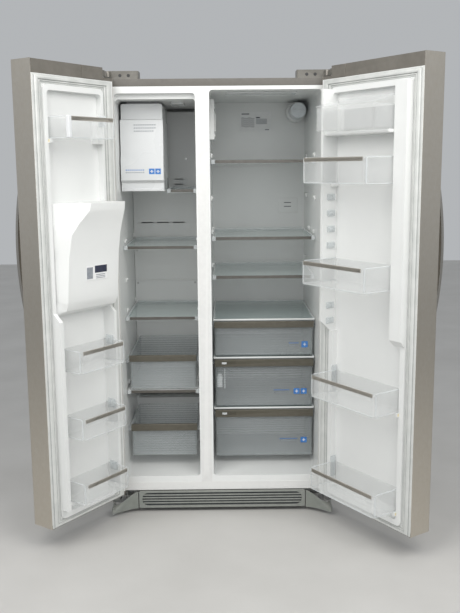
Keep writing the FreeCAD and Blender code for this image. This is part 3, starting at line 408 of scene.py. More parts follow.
clear_plastic = clear_finish("clear_bin_plastic", (0.85, 0.87, 0.87), 0.05, 0.42)
ribbed_plastic = clear_finish("ribbed_drawer_plastic", (0.68, 0.73, 0.74), 0.15, 0.55, ribs=29.4)
shelf_glass = clear_finish("shelf_glass", (0.62, 0.74, 0.73), 0.10, 0.55)
frosted_frame = clear_finish("shelf_frame_plastic", (0.86, 0.90, 0.91), 0.42, 0.85)
lamp_lens = clear_finish("lamp_lens", (0.85, 0.88, 0.88), 0.7, 0.95)

NODE_FINISH = {
    "cabinet_wrap": cabinet_paint,
    "freezer_liner": white_liner,
    "fridge_liner": white_liner,
    "cabinet_foam": foam_fill,
    "front_rails": white_rail,
    "back_panels": zinc_steel,
    "base_frame": zinc_steel,
    "levelling_legs": zinc_steel,
    "rear_roller_left": dark_plastic,
    "rear_roller_right": dark_plastic,
    "toe_grille": grille_plastic,
    "hinge_brackets": zinc_steel,
    "hinge_covers": cover_plastic,
    "compressor": black_enamel,
    "condenser": black_enamel,
    "fan_motors": black_enamel,
    "condenser_fan_blade": dark_plastic,
    "freezer_fan_blade": dark_plastic,
    "drain_pan": dark_plastic,
    "evaporator": bare_aluminium,
    "evaporator_cover": white_liner,
    "ice_housing": ice_white,
    "ice_bin": ice_white,
    "ice_auger": zinc_steel,
    "shelf_glass": shelf_glass,
    "shelf_frames": frosted_frame,
    "slotted_shelf": white_liner,
    "upper_basket": ribbed_plastic,
    "lower_basket": ribbed_plastic,
    "deli_drawer": ribbed_plastic,
    "upper_crisper": ribbed_plastic,
    "lower_crisper": ribbed_plastic,
    "upper_basket_trim": taupe_metal,
    "lower_basket_trim": taupe_metal,
    "deli_drawer_trim": taupe_metal,
    "upper_crisper_trim": taupe_metal,
    "lower_crisper_trim": taupe_metal,
    "upper_crisper_slider": slider_white,
    "lower_crisper_slider": slider_white,
    "fridge_housings": white_liner,
    "water_filter": filter_white,
    "ceiling_lights": lamp_lens,
    "freezer_door_panel": door_steel,
    "fridge_door_panel": door_steel,
    "freezer_door_caps": cap_plastic,
    "fridge_door_caps": cap_plastic,
    "freezer_door_foam": foam_fill,
    "fridge_door_foam": foam_fill,
    "freezer_door_liner": white_liner,
    "fridge_door_liner": white_liner,
    "freezer_door_gasket": seal_rubber,
    "fridge_door_gasket": seal_rubber,
    "freezer_door_handle": handle_steel,
    "fridge_door_handle": handle_steel,
    "freezer_door_bins": clear_plastic,
    "fridge_door_bins": clear_plastic,
    "dispenser_housing": dispenser_grey,
    "chute_flap": dispenser_grey,
    "dispenser_paddle": dark_plastic,
    "dairy_lid": clear_plastic,
}
BODY_OF = {node: body for body, nodes in frame["record"]["behaviour"]["bodies"].items() for node in nodes}


# ---- shaping ----
def finished_piece(name, bm, finish, body, crease=28):
    """Turns the shape into an object with soft shading, riding on a body."""
    bm.normal_update()
    limit = math.radians(crease)
    for face in bm.faces:
        face.smooth = True
    for edge in bm.edges:
        edge.smooth = edge.is_manifold and edge.calc_face_angle(0) < limit
    mesh = bpy.data.meshes.new(name)
    bm.to_mesh(mesh)
    bm.free()
    mesh.materials.append(finish)
    piece = bpy.data.objects.new(name, mesh)
    bpy.context.scene.collection.objects.link(piece)
    even = piece.modifiers.new("even_shading", "WEIGHTED_NORMAL")
    even.keep_sharp = True
    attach(piece, body)
    return piece


def softened(bm, edges, width, steps=2):
    if edges:
        bmesh.ops.bevel(
            bm, geom=edges, offset=width, segments=steps, affect="EDGES", profile=0.5, material=-1,
            clamp_overlap=True)


def edges_of(verts):
    """The edges that meet the vertices, each once and always in the same order."""
    return list(dict.fromkeys(edge for vert in verts for edge in vert.link_edges))


def add_block(bm, low, high, width=0.0, steps=2, place=None):
    """A block between two corners with softened edges."""
    made = bmesh.ops.create_cube(bm, size=1.0)["verts"]
    low, high = Vector(low), Vector(high)
    bmesh.ops.scale(bm, vec=[abs(part) for part in high - low], verts=made)
    bmesh.ops.translate(bm, vec=(low + high) / 2, verts=made)
    if place:
        bmesh.ops.transform(bm, matrix=place, verts=made)
    if width:
        softened(bm, edges_of(made), width, steps)


def add_disc(bm, centre, axis, radius, depth, sides=28, width=0.0, place=None):
    """A short round bar that starts at centre and runs along axis."""
    turn = Vector((0, 0, 1)).rotation_difference(Vector(axis)).to_matrix().to_4x4()
    shift = Matrix.Translation(Vector(centre) + Vector(axis).normalized() * depth / 2)
    made = bmesh.ops.create_cone(
        bm, cap_ends=True, segments=sides, radius1=radius, radius2=radius, depth=depth,
        matrix=shift @ turn)["verts"]
    if place:
        bmesh.ops.transform(bm, matrix=place, verts=made)
    if width:
        softened(bm, [edge for edge in edges_of(made) if edge.calc_face_angle(0) > 1], width)


def hung(side):
    """The turn that takes a door piece from shut to its open rest."""
    pin = Vector((side * PIN_X, PIN_Y, 0))
    return Matrix.Translation(pin) @ Matrix.Rotation(DOOR_TURN[side], 4, "Z") @ Matrix.Translation(-pin)


def door_corners(side, u0, u1, v0, v1, z0, z1):
    """Corners of a shut door block: u from the hinge edge, v outward from the inner face."""
    xs = sorted((side * (DOOR_HALF - u0), side * (DOOR_HALF - u1)))
    ys = sorted((-FACE_GAP - v0, -FACE_GAP - v1))
    return (xs[0], ys[0], z0), (xs[1], ys[1], z1)


def add_door_block(bm, side, u0, u1, v0, v1, z0, z1, width, steps=2):
    """A softened block on an open door, placed by door_corners."""
    low, high = door_corners(side, u0, u1, v0, v1, z0, z1)
    add_block(bm, low, high, width, steps, place=hung(side))


def refined(node, width=0.0008, crease=28, least_turn=40, above=None):
    """A merged copy of a fixed part with its hard edges softened, shown in its place.

    With a height given, only what stands above it is kept.
    """
    bm = bmesh.new()
    bm.from_mesh(frame["nodes"][node].data)
    if above is not None:
        low = [vert for vert in bm.verts if vert.co.z < above]
        bmesh.ops.delete(bm, geom=low, context="VERTS")
    bmesh.ops.remove_doubles(bm, verts=bm.verts, dist=0.000002)
    bmesh.ops.dissolve_limit(bm, angle_limit=math.radians(0.4), verts=bm.verts, edges=bm.edges)
    limit = math.radians(least_turn)
    hard = [edge for edge in bm.edges if edge.is_manifold and edge.calc_face_angle(0) > limit]
    if width:
        softened(bm, hard, width)
    piece = finished_piece(node + "_shown", bm, NODE_FINISH[node], BODY_OF[node], crease)
    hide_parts(node)
    return piece


for node, finish in NODE_FINISH.items():
    holder = frame["nodes"][node]
    for slot in holder.material_slots:
        slot.material = finish
    if not holder.material_slots:
        holder.data.materials.append(finish)

REFINED = {
    "cabinet_wrap": 0.0004,
    "freezer_liner": 0.0008,
    "fridge_liner": 0.0008,
    "front_rails": 0.0004,
    "hinge_brackets": 0.0006,
    "evaporator_cover": 0.0006,
    "ice_housing": 0.002,
    "ice_bin": 0.002,
    "ice_auger": 0.0005,
    "shelf_glass": 0.0006,
    "shelf_frames": 0.0012,
    "slotted_shelf": 0.0015,
    "upper_basket": 0.0008,
    "lower_basket": 0.0008,
    "deli_drawer": 0.0008,
    "upper_crisper": 0.0008,
    "lower_crisper": 0.0008,
    "upper_basket_trim": 0.0006,
    "lower_basket_trim": 0.0006,
    "deli_drawer_trim": 0.0006,
    "upper_crisper_trim": 0.0006,
    "lower_crisper_trim": 0.0006,
    "upper_crisper_slider": 0.0006,
    "lower_crisper_slider": 0.0006,
    "fridge_housings": 0.0015,
    "water_filter": 0.0015,
    "ceiling_lights": 0.0015,
    "freezer_door_panel": 0.0,
    "fridge_door_panel": 0.0,
    "freezer_door_caps": 0.0008,
    "fridge_door_caps": 0.0008,
    "freezer_door_liner": 0.003,
    "fridge_door_liner": 0.003,
    "freezer_door_handle": 0.005,
    "fridge_door_handle": 0.005,
    "freezer_door_bins": 0.0008,
    "fridge_door_bins": 0.0008,
    "dispenser_housing": 0.001,
    "chute_flap": 0.0006,
    "dispenser_paddle": 0.0012,
    "dairy_lid": 0.0008,
    "compressor": 0.001,
    "levelling_legs": 0.0006,
}
for node, width in REFINED.items():
    refined(node, width)
refined("hinge_covers", 0.0016, above=1.0)


# ---- door seals ----
# The seal's section: how far across it lies, and how high it rises in millimetres.
SEAL_PROFILE = [
    (0.00, 0.0), (0.00, 2.2), (0.03, 3.0), (0.16, 3.0), (0.18, 6.6), (0.22, 8.6), (0.30, 9.7),
    (0.42, 10.0), (0.52, 9.5), (0.57, 7.6), (0.58, 4.4), (0.62, 3.4), (0.65, 5.2), (0.69, 6.4),
    (0.76, 6.4), (0.80, 5.0), (0.82, 3.2), (0.88, 3.0), (0.98, 2.8), (1.00, 2.2), (1.00, 0.0),
]
# Profile steps whose faces get the darker groove rubber: painted shade in the folds.
SEAL_SHADED_GROOVES = (3, 10, 11, 16, 18)


def door_seal(side):
    """Ridged rubber seal with mitred corners, running round the door's inner face."""
    width = DOOR_WIDTH[side]
    outer = (0.010, width - 0.002, 0.099, 1.728)
    inner = (0.060, width - 0.043, 0.121, 1.699)
    bm = bmesh.new()
    step = bm.verts.layers.int.new("profile_step")

    def to_corner(verts, corner):
        for vert in verts:
            across, rise = SEAL_PROFILE[vert[step]]
            u0, u1, z0, z1 = [a + (b - a) * across for a, b in zip(outer, inner)]
            u = u1 if corner in (1, 2) else u0
            z = z1 if corner in (2, 3) else z0
            vert.co = Vector((side * (DOOR_HALF - u), -FACE_GAP + rise / 1000, z))

    ring = [bm.verts.new() for _ in SEAL_PROFILE]
    for number, vert in enumerate(ring):
        vert[step] = number
    edges = [bm.edges.new((ring[number - 1], ring[number])) for number in range(len(ring))]
    to_corner(ring, 0)
    for corner in (1, 2, 3, 0):
        grown = bmesh.ops.extrude_edge_only(bm, edges=edges)["geom"]
        edges = [part for part in grown if isinstance(part, bmesh.types.BMEdge)]
        to_corner([part for part in grown if isinstance(part, bmesh.types.BMVert)], corner)
    bmesh.ops.remove_doubles(bm, verts=bm.verts, dist=0.00001)
    for face in bm.faces:
        # Groove faces take the second, darker material: painted shade.
        face.material_index = int(min(vert[step] for vert in face.verts) in SEAL_SHADED_GROOVES)
    bmesh.ops.recalc_face_normals(bm, faces=bm.faces)
    bmesh.ops.transform(bm, matrix=hung(side), verts=bm.verts)
    seal = finished_piece(DOOR_NAME[side] + "_seal", bm, seal_rubber, DOOR_NAME[side], crease=50)
    seal.data.materials.append(seal_groove_shade)
    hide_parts(DOOR_NAME[side] + "_gasket")


for side in (-1, 1):
    door_seal(side)


# ---- door bins: trims and rims ----
BIN_CORNER = 0.010
TOP_RIM, EDGE_RIM, RIM_ROUND = 0.003, 0.0022, 0.0008


def door_bin_trim(side, number, spec):
    """Metal bar along a bin's front, and clear rims along its tops, corners and floor."""
    u0, u1, reach, bottom, top = spec
    door = DOOR_NAME[side]
    left, right = u0 + BIN_CORNER, u1 - BIN_CORNER
    bar = bmesh.new()
    # The bar takes the lighter copy of the trim metal: painted light.
    add_door_block(bar, side, left, right, -reach, -reach + 0.0024, top - 0.013, top + 0.0015, 0.0007)
    finished_piece(f"{door}_bin_trim_{number}", bar, bin_bar_painted_light_metal, door)
    rim = bmesh.new()
    for u in (u0, u1 - TOP_RIM):
        add_door_block(
            rim, side, u, u + TOP_RIM, -reach + 0.013, BIN_FLOOR_V - 0.002, top, top + TOP_RIM, 0.001)
    low, high = bottom + 0.0004, bottom + 0.0032
    for u in (u0 - 0.0008, u1 - 0.0014):
        far = u + EDGE_RIM
        add_door_block(rim, side, u, far, -reach + 0.006, -reach + 0.012, bottom + 0.006, top, RIM_ROUND)
        add_door_block(rim, side, u, far, -reach + BIN_CORNER, BIN_FLOOR_V - 0.004, low, high, RIM_ROUND)
    add_door_block(rim, side, left, right, -reach, -reach + EDGE_RIM, low, high, RIM_ROUND)
    finished_piece(f"{door}_bin_rim_{number}", rim, frosted_frame, door)


for number, spec in enumerate(FREEZER_BINS):
    door_bin_trim(-1, number + 1, spec)
for number, spec in enumerate(FRIDGE_BINS):
    door_bin_trim(1, number + 1, spec)


# ---- shelf trims ----
SHELF_GAP = 0.003
CLIP_WIDE = 0.0155


def shelf_trim(name, left, right, top, front, deep):
    """Metal bar along a shelf's front edge, between two clear end clips."""
    bar = bmesh.new()
    back, gap = front - 0.0003, 0.0005
    add_block(
        bar, (left + CLIP_WIDE + gap, front - 0.0045, top - deep), (right - CLIP_WIDE - gap, back, top + gap),
        0.001)
    finished_piece(name + "_trim", bar, shelf_bar_metal, "cabinet")
    clips = bmesh.new()
    for start in (left, right - CLIP_WIDE):
        add_block(
            clips, (start, front - 0.007, top - deep - 0.003), (start + CLIP_WIDE, back, top + 0.003), 0.002)
    finished_piece(name + "_clips", clips, frosted_frame, "cabinet")


for number, top in enumerate(FRIDGE_SHELVES):
    shelf_trim(
        f"fridge_shelf_{number + 1}", FRIDGE_LEFT + SHELF_GAP, FRIDGE_RIGHT - SHELF_GAP, top, 0.152,
        0.012)
for number, top in enumerate(FREEZER_SHELVES):
    shelf_trim(
        f"freezer_shelf_{number + 1}", FREEZER_LEFT + SHELF_GAP, FREEZER_RIGHT - SHELF_GAP, top, 0.140,
        0.011)
shelf_trim("narrow_shelf", -0.216, FREEZER_RIGHT - SHELF_GAP, 1.322, 0.200, 0.011)
shelf_trim("slotted_shelf", FREEZER_LEFT + SHELF_GAP, FREEZER_RIGHT - SHELF_GAP, 0.488, 0.116, 0.011)

cover_lips = bmesh.new()
for top in DRAWER_COVERS:
    add_block(
        cover_lips, (FRIDGE_LEFT + 0.004, 0.1255, top - 0.004), (FRIDGE_RIGHT - 0.004, 0.1297, top + 0.0015),
        0.0012)
finished_piece("drawer_cover_lips", cover_lips, white_liner, "cabinet")


# ---- labels, all plain shapes ----
def flat_label(name, parts, body, place=None):
    """Thin printed shapes: each part is (finish, low corner, high corner)."""
    by_finish = {}
    for finish, low, high in parts:
        if finish.name not in by_finish:
            by_finish[finish.name] = bmesh.new()
        add_block(by_finish[finish.name], low, high, place=place)
    for finish_name, bm in by_finish.items():
        finished_piece(f"{name}_{finish_name}", bm, made_materials[finish_name], body)


def wave_line(bm, x0, x1, y, z, swing, thick):
    """A thin wavy printed line."""
    made = bmesh.ops.create_grid(bm, x_segments=24, y_segments=1, size=0.5)["verts"]
    length = x1 - x0
    for vert in made:
        along = vert.co.x + 0.5
        rise = swing * math.sin(along * 4 * math.pi)
        vert.co = Vector((x0 + along * length, y, z + rise + vert.co.y * thick))


PRINT_FRONT, PRINT_BACK = LINER_BACK - 0.0011, LINER_BACK - 0.0007
fridge_label = [
    (paper_white, (0.098, LINER_BACK - 0.0008, 1.575), (0.241, LINER_BACK - 0.0002, 1.662)),
    (print_dark, (0.105, PRINT_FRONT, 1.651), (0.140, PRINT_BACK, 1.655)),
    (print_dark, (0.172, PRINT_FRONT, 1.634), (0.190, PRINT_BACK, 1.639)),
    (print_dark, (0.214, PRINT_FRONT, 1.580), (0.232, PRINT_BACK, 1.583)),
]
for row in range(5):
    z = 1.628 - row * 0.005
    fridge_label.append((print_grey, (0.172, PRINT_FRONT, z), (0.222, PRINT_BACK, z + 0.0024)))
flat_label("fridge_wall_label", fridge_label, "cabinet")
waves = bmesh.new()
for row in range(5):
    wave_line(waves, 0.104, 0.164, PRINT_FRONT, 1.597 + row * 0.009, 0.0028, 0.0022)
bmesh.ops.reverse_faces(waves, faces=[face for face in waves.faces if face.normal.y > 0])
bmesh.ops.solidify(waves, geom=waves.faces, thickness=0.0003)
bmesh.ops.recalc_face_normals(waves, faces=waves.faces)
finished_piece("fridge_label_waves", waves, print_dark, "cabinet")


BADGE_GAP = 0.008
LETTER_PITCH, LETTER_WIDE, LETTER_TALL = 0.0085, 0.0052, 0.0036


def badge_row(name, y, z0, z1, badges, text_left, body):
    """Square badges at the end of two short rows of plain bars."""
    parts = []
    tall = z1 - z0

    def stripe(mid, half, low, high):
        corners = (mid - half, y - 0.0007, z0 + tall * low), (mid + half, y - 0.0003, z0 + tall * high)
        parts.append((paper_white, *corners))

    for left, right in badges:
        mid = (left + right) / 2
        parts.append((print_blue, (left, y - 0.0004, z0), (right, y, z1)))
        stripe(mid, 0.002, 0.25, 0.75)
        stripe(mid, 0.006, 0.42, 0.56)
    for number in range(int((badges[0][0] - BADGE_GAP - text_left) / LETTER_PITCH)):
        x = text_left + number * LETTER_PITCH
        for row, finish in ((0.68, print_blue), (0.22, print_grey)):
            z = z0 + tall * row
            parts.append((finish, (x, y - 0.0004, z), (x + LETTER_WIDE, y, z + LETTER_TALL)))
    flat_label(name, parts, body)


DRAWER_FACE = 0.1398
badge_row("deli_badge", DRAWER_FACE, 0.661, 0.687, [(0.340, 0.366)], 0.288, "deli_drawer")
badge_row(
    "upper_crisper_badge", DRAWER_FACE, 0.459, 0.483, [(0.308, 0.333), (0.338, 0.363)], 0.224,
    "upper_crisper")
badge_row("lower_crisper_badge", DRAWER_FACE, 0.243, 0.267, [(0.339, 0.365)], 0.250, "lower_crisper")

# ---- air freshener box in the upper crisper ----
freshener = bmesh.new()
add_block(freshener, (-0.016, 0.143, 0.490), (0.006, 0.160, 0.538), 0.002)
add_block(freshener, (-0.013, 0.1432, 0.540), (0.003, 0.156, 0.548), 0.001)
for row in range(5):
    z = 0.498 + row * 0.007
    add_block(freshener, (-0.012, 0.1424, z), (0.002, 0.1431, z + 0.003), 0.0003)
finished_piece("freshener_box", freshener, slider_white, "upper_crisper")
stem = bmesh.new()
add_block(stem, (0.014, 0.143, 0.484), (0.018, 0.150, 0.572), 0.0012)
finished_piece("freshener_rail", stem, slider_white, "upper_crisper")

# ---- side and back walls: sensor cover, shelf pegs, duct cover ----
cover = bmesh.new()
add_block(cover, (0.274, LINER_BACK - 0.004, 1.198), (0.365, LINER_BACK - 0.0002, 1.267), 0.002, 2)
finished_piece("sensor_cover", cover, white_liner, "cabinet")
# Dark bars on the sensor cover: painted shade in its slots.
cover_slot_shades = bmesh.new()
for z in (1.228, 1.246):
    low, high = z - 0.0015, z + 0.0015
    add_block(cover_slot_shades, (0.302, LINER_BACK - 0.0046, low), (0.335, LINER_BACK - 0.0038, high), 0.0003)
finished_piece("sensor_cover_slot_shades", cover_slot_shades, slot_shadow, "cabinet")


PAD_THICK, PEG_RADIUS, PEG_LONG = 0.006, 0.004, 0.005


def shelf_pegs(name, walls, places):
    """Moulded pads with a round peg, in pairs on the two side walls."""
    bm = bmesh.new()
    for y, z in places:
        for wall, way in walls:
            low, high = sorted((wall + way * 0.0002, wall + way * PAD_THICK))
            add_block(bm, (low, y - 0.010, z - 0.012), (high, y + 0.010, z + 0.006), 0.002)
            add_disc(bm, (wall + way * 0.005, y, z), (way, 0, 0), PEG_RADIUS, PEG_LONG, 16, 0.0008)
    finished_piece(name, bm, white_liner, "cabinet")


shelf_pegs("fridge_shelf_pegs", ((FRIDGE_LEFT, 1), (FRIDGE_RIGHT, -1)), (
    (0.52, 1.462), (0.20, 1.462), (0.382, 1.148), (0.20, 1.148), (0.252, 1.004), (0.55, 1.004), (0.18, 1.288),
    (0.5, 1.288)))
shelf_pegs("freezer_shelf_pegs", ((FREEZER_LEFT, 1), (FREEZER_RIGHT, -1)), (
    (0.20, 1.115), (0.50, 1.115), (0.20, 0.820), (0.50, 0.820), (0.18, 0.515), (0.48, 0.515), (0.2, 0.95)))

duct = bmesh.new()
add_block(duct, (FRIDGE_LEFT + 0.018, 0.205, 1.555), (FRIDGE_LEFT + 0.023, 0.300, 1.628), 0.002)
for z in (1.540, 1.650):
    add_block(duct, (FRIDGE_LEFT + 0.018, 0.180, z - 0.004), (FRIDGE_LEFT + 0.021, 0.310, z + 0.004), 0.0012)
finished_piece("duct_cover", duct, white_liner, "cabinet")

# ---- water filter: cap ring ----
RING_RADIUS = 0.030
filter_ring = bmesh.new()
bmesh.ops.create_cone(
    filter_ring, cap_ends=False, segments=48, radius1=RING_RADIUS, radius2=RING_RADIUS, depth=0.003,
    matrix=Matrix.Translation((0.350, 0.4455, 1.655)) @ Matrix.Rotation(math.radians(90), 4, "X"))
bmesh.ops.solidify(filter_ring, geom=filter_ring.faces, thickness=0.0022)
bmesh.ops.recalc_face_normals(filter_ring, faces=filter_ring.faces)
finished_piece("filter_cap_ring", filter_ring, filter_white, "water_filter")

# ---- freezer back cover: screws, seam lip ----
SCREW_RADIUS, SLIT_HALF = 0.0052, 0.0036
screws = bmesh.new()
for x, z in (
        (-0.384, 1.037), (-0.107, 1.037), (-0.384, 0.62), (-0.107, 0.62), (-0.15, 1.45), (-0.384, 0.884),
        (-0.119, 0.884)):
    add_disc(screws, (x, COVER_PLATE - 0.0002, z), (0, -1, 0), SCREW_RADIUS, 0.0022, 20, 0.0008)
    add_block(
        screws, (x - SLIT_HALF, COVER_PLATE - 0.0027, z - 0.0006),
        (x + SLIT_HALF, COVER_PLATE - 0.0023, z + 0.0006))
finished_piece("freezer_cover_screws", screws, zinc_steel, "cabinet")
lip = bmesh.new()
add_block(
    lip, (FREEZER_LEFT + 0.004, COVER_PLATE - 0.004, 0.893),
    (FREEZER_RIGHT - 0.004, COVER_PLATE - 0.0002, 0.899), 0.0015)
finished_piece("freezer_cover_seam", lip, white_liner, "cabinet")

# ---- ice unit: printed shapes and bottom lip ----
ICE_LEFT, ICE_RIGHT, ICE_FRONT = -0.392, -0.221, 0.114
ice_text = []
for z, bars in ((1.578, 10), (1.566, 10), (1.554, 9)):
    for number in range(bars):
        x = ICE_LEFT + 0.055 + number * 0.009
        ice_text.append((
            print_grey, (x, ICE_FRONT - 0.0008, z), (x + 0.0062, ICE_FRONT - 0.0001, z + 0.0035)))
flat_label("ice_unit_text", ice_text, "ice_bin")
badge_row("ice_unit_badge", 0.0999, 1.386, 1.408, [(-0.279, -0.257), (-0.254, -0.232)], -0.372, "ice_bin")
ice_lip = bmesh.new()
add_block(
    ice_lip, (ICE_LEFT + 0.010, ICE_FRONT - 0.006, 1.3185), (ICE_RIGHT - 0.010, ICE_FRONT - 0.0002, 1.330),
    0.002)
finished_piece("ice_bin_lip", ice_lip, ice_white, "ice_bin")

# ---- freezer door: label on the chute housing, bin clips ----
LABEL_TURN = (
    Matrix.Translation((-DOOR_HALF + 0.133, -FACE_GAP + 0.0645, 1.035))
    @ Matrix.Rotation(math.radians(-4.1), 4, "Z") @ Matrix.Rotation(math.radians(-2.4), 4, "X"))
chute_label = [
    (paper_white, (0.0, 0.0, -0.026), (0.100, 0.0012, 0.027)),
    (print_dark, (0.0, 0.0010, -0.001), (0.058, 0.0018, 0.025)),
    (print_grey, (0.068, 0.0010, -0.021), (0.096, 0.0018, 0.021)),
]
for row in range(3):
    z = row * 0.006 - 0.022
    chute_label.append((print_grey, (0.008, 0.0010, z), (0.052, 0.0018, z + 0.0025)))
flat_label("chute_label", chute_label, "freezer_door", hung(-1) @ LABEL_TURN)


def bin_clips(side, wall_u, specs):
    """Moulded clips beside the bins' hinge ends, each a pad with a round boss."""
    bm = bmesh.new()
    for bottom, top in specs:
        add_door_block(bm, side, wall_u, wall_u + 0.005, -0.034, 0.004, bottom, top, 0.002)
        add_door_block(
            bm, side, wall_u + 0.004, wall_u + 0.008, -0.030, -0.014, bottom + 0.006, top - 0.006, 0.0015)
        x, y = side * (DOOR_HALF - wall_u - 0.004), -FACE_GAP + 0.006
        add_disc(bm, (x, y, (bottom + top) / 2), (-side, 0, 0), 0.0075, 0.004, 20, 0.001, hung(side))
    finished_piece(DOOR_NAME[side] + "_bin_clips", bm, frosted_frame, DOOR_NAME[side])


bin_clips(-1, 0.0742, [(0.742, 0.778), (0.488, 0.524), (0.232, 0.268), (1.560, 1.600)])
bin_clips(1, 0.0722, [(z - 0.012, z + 0.012) for z in (1.297, 1.237, 1.177, 1.116, 0.885, 0.826)])
low_clips = bmesh.new()
for bottom, top in ((0.195, 0.280), (0.565, 0.650)):
    add_door_block(low_clips, 1, 0.0842, 0.0895, -0.012, 0.012, bottom, top, 0.002)
finished_piece("fridge_door_low_clips", low_clips, frosted_frame, "fridge_door")

# ---- door cap ribs near the hinges ----
for side, u0, u1 in ((-1, 0.143, 0.158), (1, 0.112, 0.127)):
    rib = bmesh.new()
    add_door_block(rib, side, u0, u1, -0.0022, 0.0, 1.733, 1.7765, 0.0016)
    add_door_block(rib, side, 0.052, u0 - 0.0005, -0.0012, 0.0, 1.733, 1.770, 0.0008)
    finished_piece(DOOR_NAME[side] + "_cap_rib", rib, cap_plastic, DOOR_NAME[side])

# ---- top hinges: bushings, drum ribs as a painted highlight, painted shadow in the cover gaps, screw wells, stops ----
HINGE_FOOT, WELL_HEIGHT = 1.7425, 1.758
bushings = bmesh.new()
drum_highlights = bmesh.new()
gap_shades = bmesh.new()
wells = bmesh.new()
for side in (-1, 1):
    add_disc(bushings, (side * PIN_X, PIN_Y - 0.0005, HINGE_FOOT), (0, 0, 1), 0.0098, 0.0024, 24, 0.0006)
    # Thin light metal rib on each cover's drum: a painted highlight.
    add_disc(drum_highlights, (side * 0.4150, -0.0160, 1.7505), (0, 0, 1), 0.0034, 0.0205, 20, 0.0008)
    # Dark box under each cover: painted shadow in the gap.
    low, high = sorted((side * 0.410, side * 0.446))
    add_block(gap_shades, (low, -0.0165, 1.7452), (high, 0.001, 1.7498))
    for x in (0.340, 0.372):
        add_disc(wells, (side * x, 0.0022, WELL_HEIGHT), (0, -1, 0), 0.0062, 0.0012, 24, 0.0004)
        add_disc(wells, (side * x, 0.0012, WELL_HEIGHT), (0, -1, 0), 0.0034, 0.0012, 6, 0.0002)
    stop = bmesh.new()
    add_door_block(stop, side, 0.0365, 0.0495, 0.016, 0.040, HINGE_FOOT, 1.770, 0.0025)
    finished_piece(DOOR_NAME[side] + "_hinge_stop", stop, dark_plastic, DOOR_NAME[side])
finished_piece("hinge_bushings", bushings, slider_white, "cabinet")
finished_piece("hinge_cover_drum_highlights", drum_highlights, bin_bar_painted_light_metal, "cabinet")
finished_piece("hinge_cover_gap_shades", gap_shades, slot_shadow, "cabinet")
finished_piece("hinge_cover_wells", wells, dark_plastic, "cabinet")


# ---- base: toe grille and scooped corner covers ----
GRILLE_FRONT = -0.0090
GRILLE_HALF, GRILLE_LOW, GRILLE_HIGH = 0.344, 0.018, 0.090
SLOT_HALF, SLOT_LOW, SLOT_HIGH, SLOT_ROUND = 0.331, 0.027, 0.083, 0.026
BAR_COUNT, BAR_PITCH = 4, 0.0114


def stadium_loop(bm, half, low, high, y, corner_radius, steps=7):
    """Closed outline with round corners, in an upright plane."""
    points = []
    for cx, cz, start in ((1, 1, 0), (-1, 1, 90), (-1, -1, 180), (1, -1, 270)):
        middle_x = cx * (half - corner_radius)
        middle_z = high - corner_radius if cz > 0 else low + corner_radius
        for step in range(steps + 1):
            angle = math.radians(start + 90 * step / steps)
            x = middle_x + corner_radius * math.cos(angle)
            points.append(bm.verts.new((x, y, middle_z + corner_radius * math.sin(angle))))
    return [bm.edges.new((points[number - 1], points[number])) for number in range(len(points))]


def grille():
    """Plate with a long round-ended window, and bars across it that follow its ends."""
    bm = bmesh.new()
    outer = stadium_loop(bm, GRILLE_HALF, GRILLE_LOW, GRILLE_HIGH, GRILLE_FRONT, 0.006)
    inner = stadium_loop(bm, SLOT_HALF, SLOT_LOW, SLOT_HIGH, GRILLE_FRONT, SLOT_ROUND)
    bmesh.ops.bridge_loops(bm, edges=outer + inner)
    bmesh.ops.recalc_face_normals(bm, faces=bm.faces)
    bmesh.ops.solidify(bm, geom=bm.faces, thickness=0.006)
    bmesh.ops.recalc_face_normals(bm, faces=bm.faces)
    middle = (SLOT_LOW + SLOT_HIGH) / 2
    for row in range(BAR_COUNT):
        z = 0.0380 + row * BAR_PITCH
        past = max(0.0, abs(z - middle) + 0.0025 - (SLOT_HIGH - SLOT_LOW) / 2 + SLOT_ROUND)
        half = SLOT_HALF - SLOT_ROUND + math.sqrt(SLOT_ROUND ** 2 - past ** 2) + 0.0015
        add_block(bm, (-half, -0.0086, z - 0.0026), (half, -0.0036, z + 0.0026), 0.0012)
    plate = finished_piece("grille_plate", bm, grille_plastic, "cabinet")
    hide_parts("toe_grille")
    back = bmesh.new()
    over = 0.004
    add_block(
        back, (-SLOT_HALF - over, -0.0034, SLOT_LOW - over), (SLOT_HALF + over, -0.0030, SLOT_HIGH + over))
    finished_piece("grille_shadow", back, slot_shadow, "cabinet")


grille()


SCOOP_LOW, SCOOP_HIGH, SCOOP_DROP = 0.0165, 0.088, 0.046
SCOOP_START, SCOOP_WIDE = 0.3475, 0.100


def corner_scoop(side):
    """Cover that curves forward and down from the grille to a low rounded horn."""
    bm = bmesh.new()
    bmesh.ops.create_grid(bm, x_segments=20, y_segments=10, size=0.5)
    for vert in bm.verts:
        along, up = vert.co.x + 0.5, vert.co.y + 0.5
        bend = along * math.pi / 2
        top = SCOOP_HIGH - SCOOP_DROP * (3 * along ** 2 - 2 * along ** 3)
        lean = 0.55 * along * up ** 2
        x = SCOOP_START + SCOOP_WIDE * along ** 1.15
        y = -0.0095 - (0.054 * (1 - math.cos(bend)) + 0.006 * along) * (1 - lean)
        vert.co = Vector((side * x, y, SCOOP_LOW + (top - SCOOP_LOW) * up))
    bmesh.ops.recalc_face_normals(bm, faces=bm.faces)
    bmesh.ops.solidify(bm, geom=bm.faces, thickness=0.0028)
    bmesh.ops.recalc_face_normals(bm, faces=bm.faces)
    low, high = sorted((side * 0.4405, side * 0.4515))
    add_block(bm, (low, -0.060, SCOOP_LOW), (high, -0.001, 0.0405), 0.0045, 3)
    name = "left_corner_scoop" if side < 0 else "right_corner_scoop"
    finished_piece(name, bm, grille_plastic, "cabinet", crease=45)


for side in (-1, 1):
    corner_scoop(side)

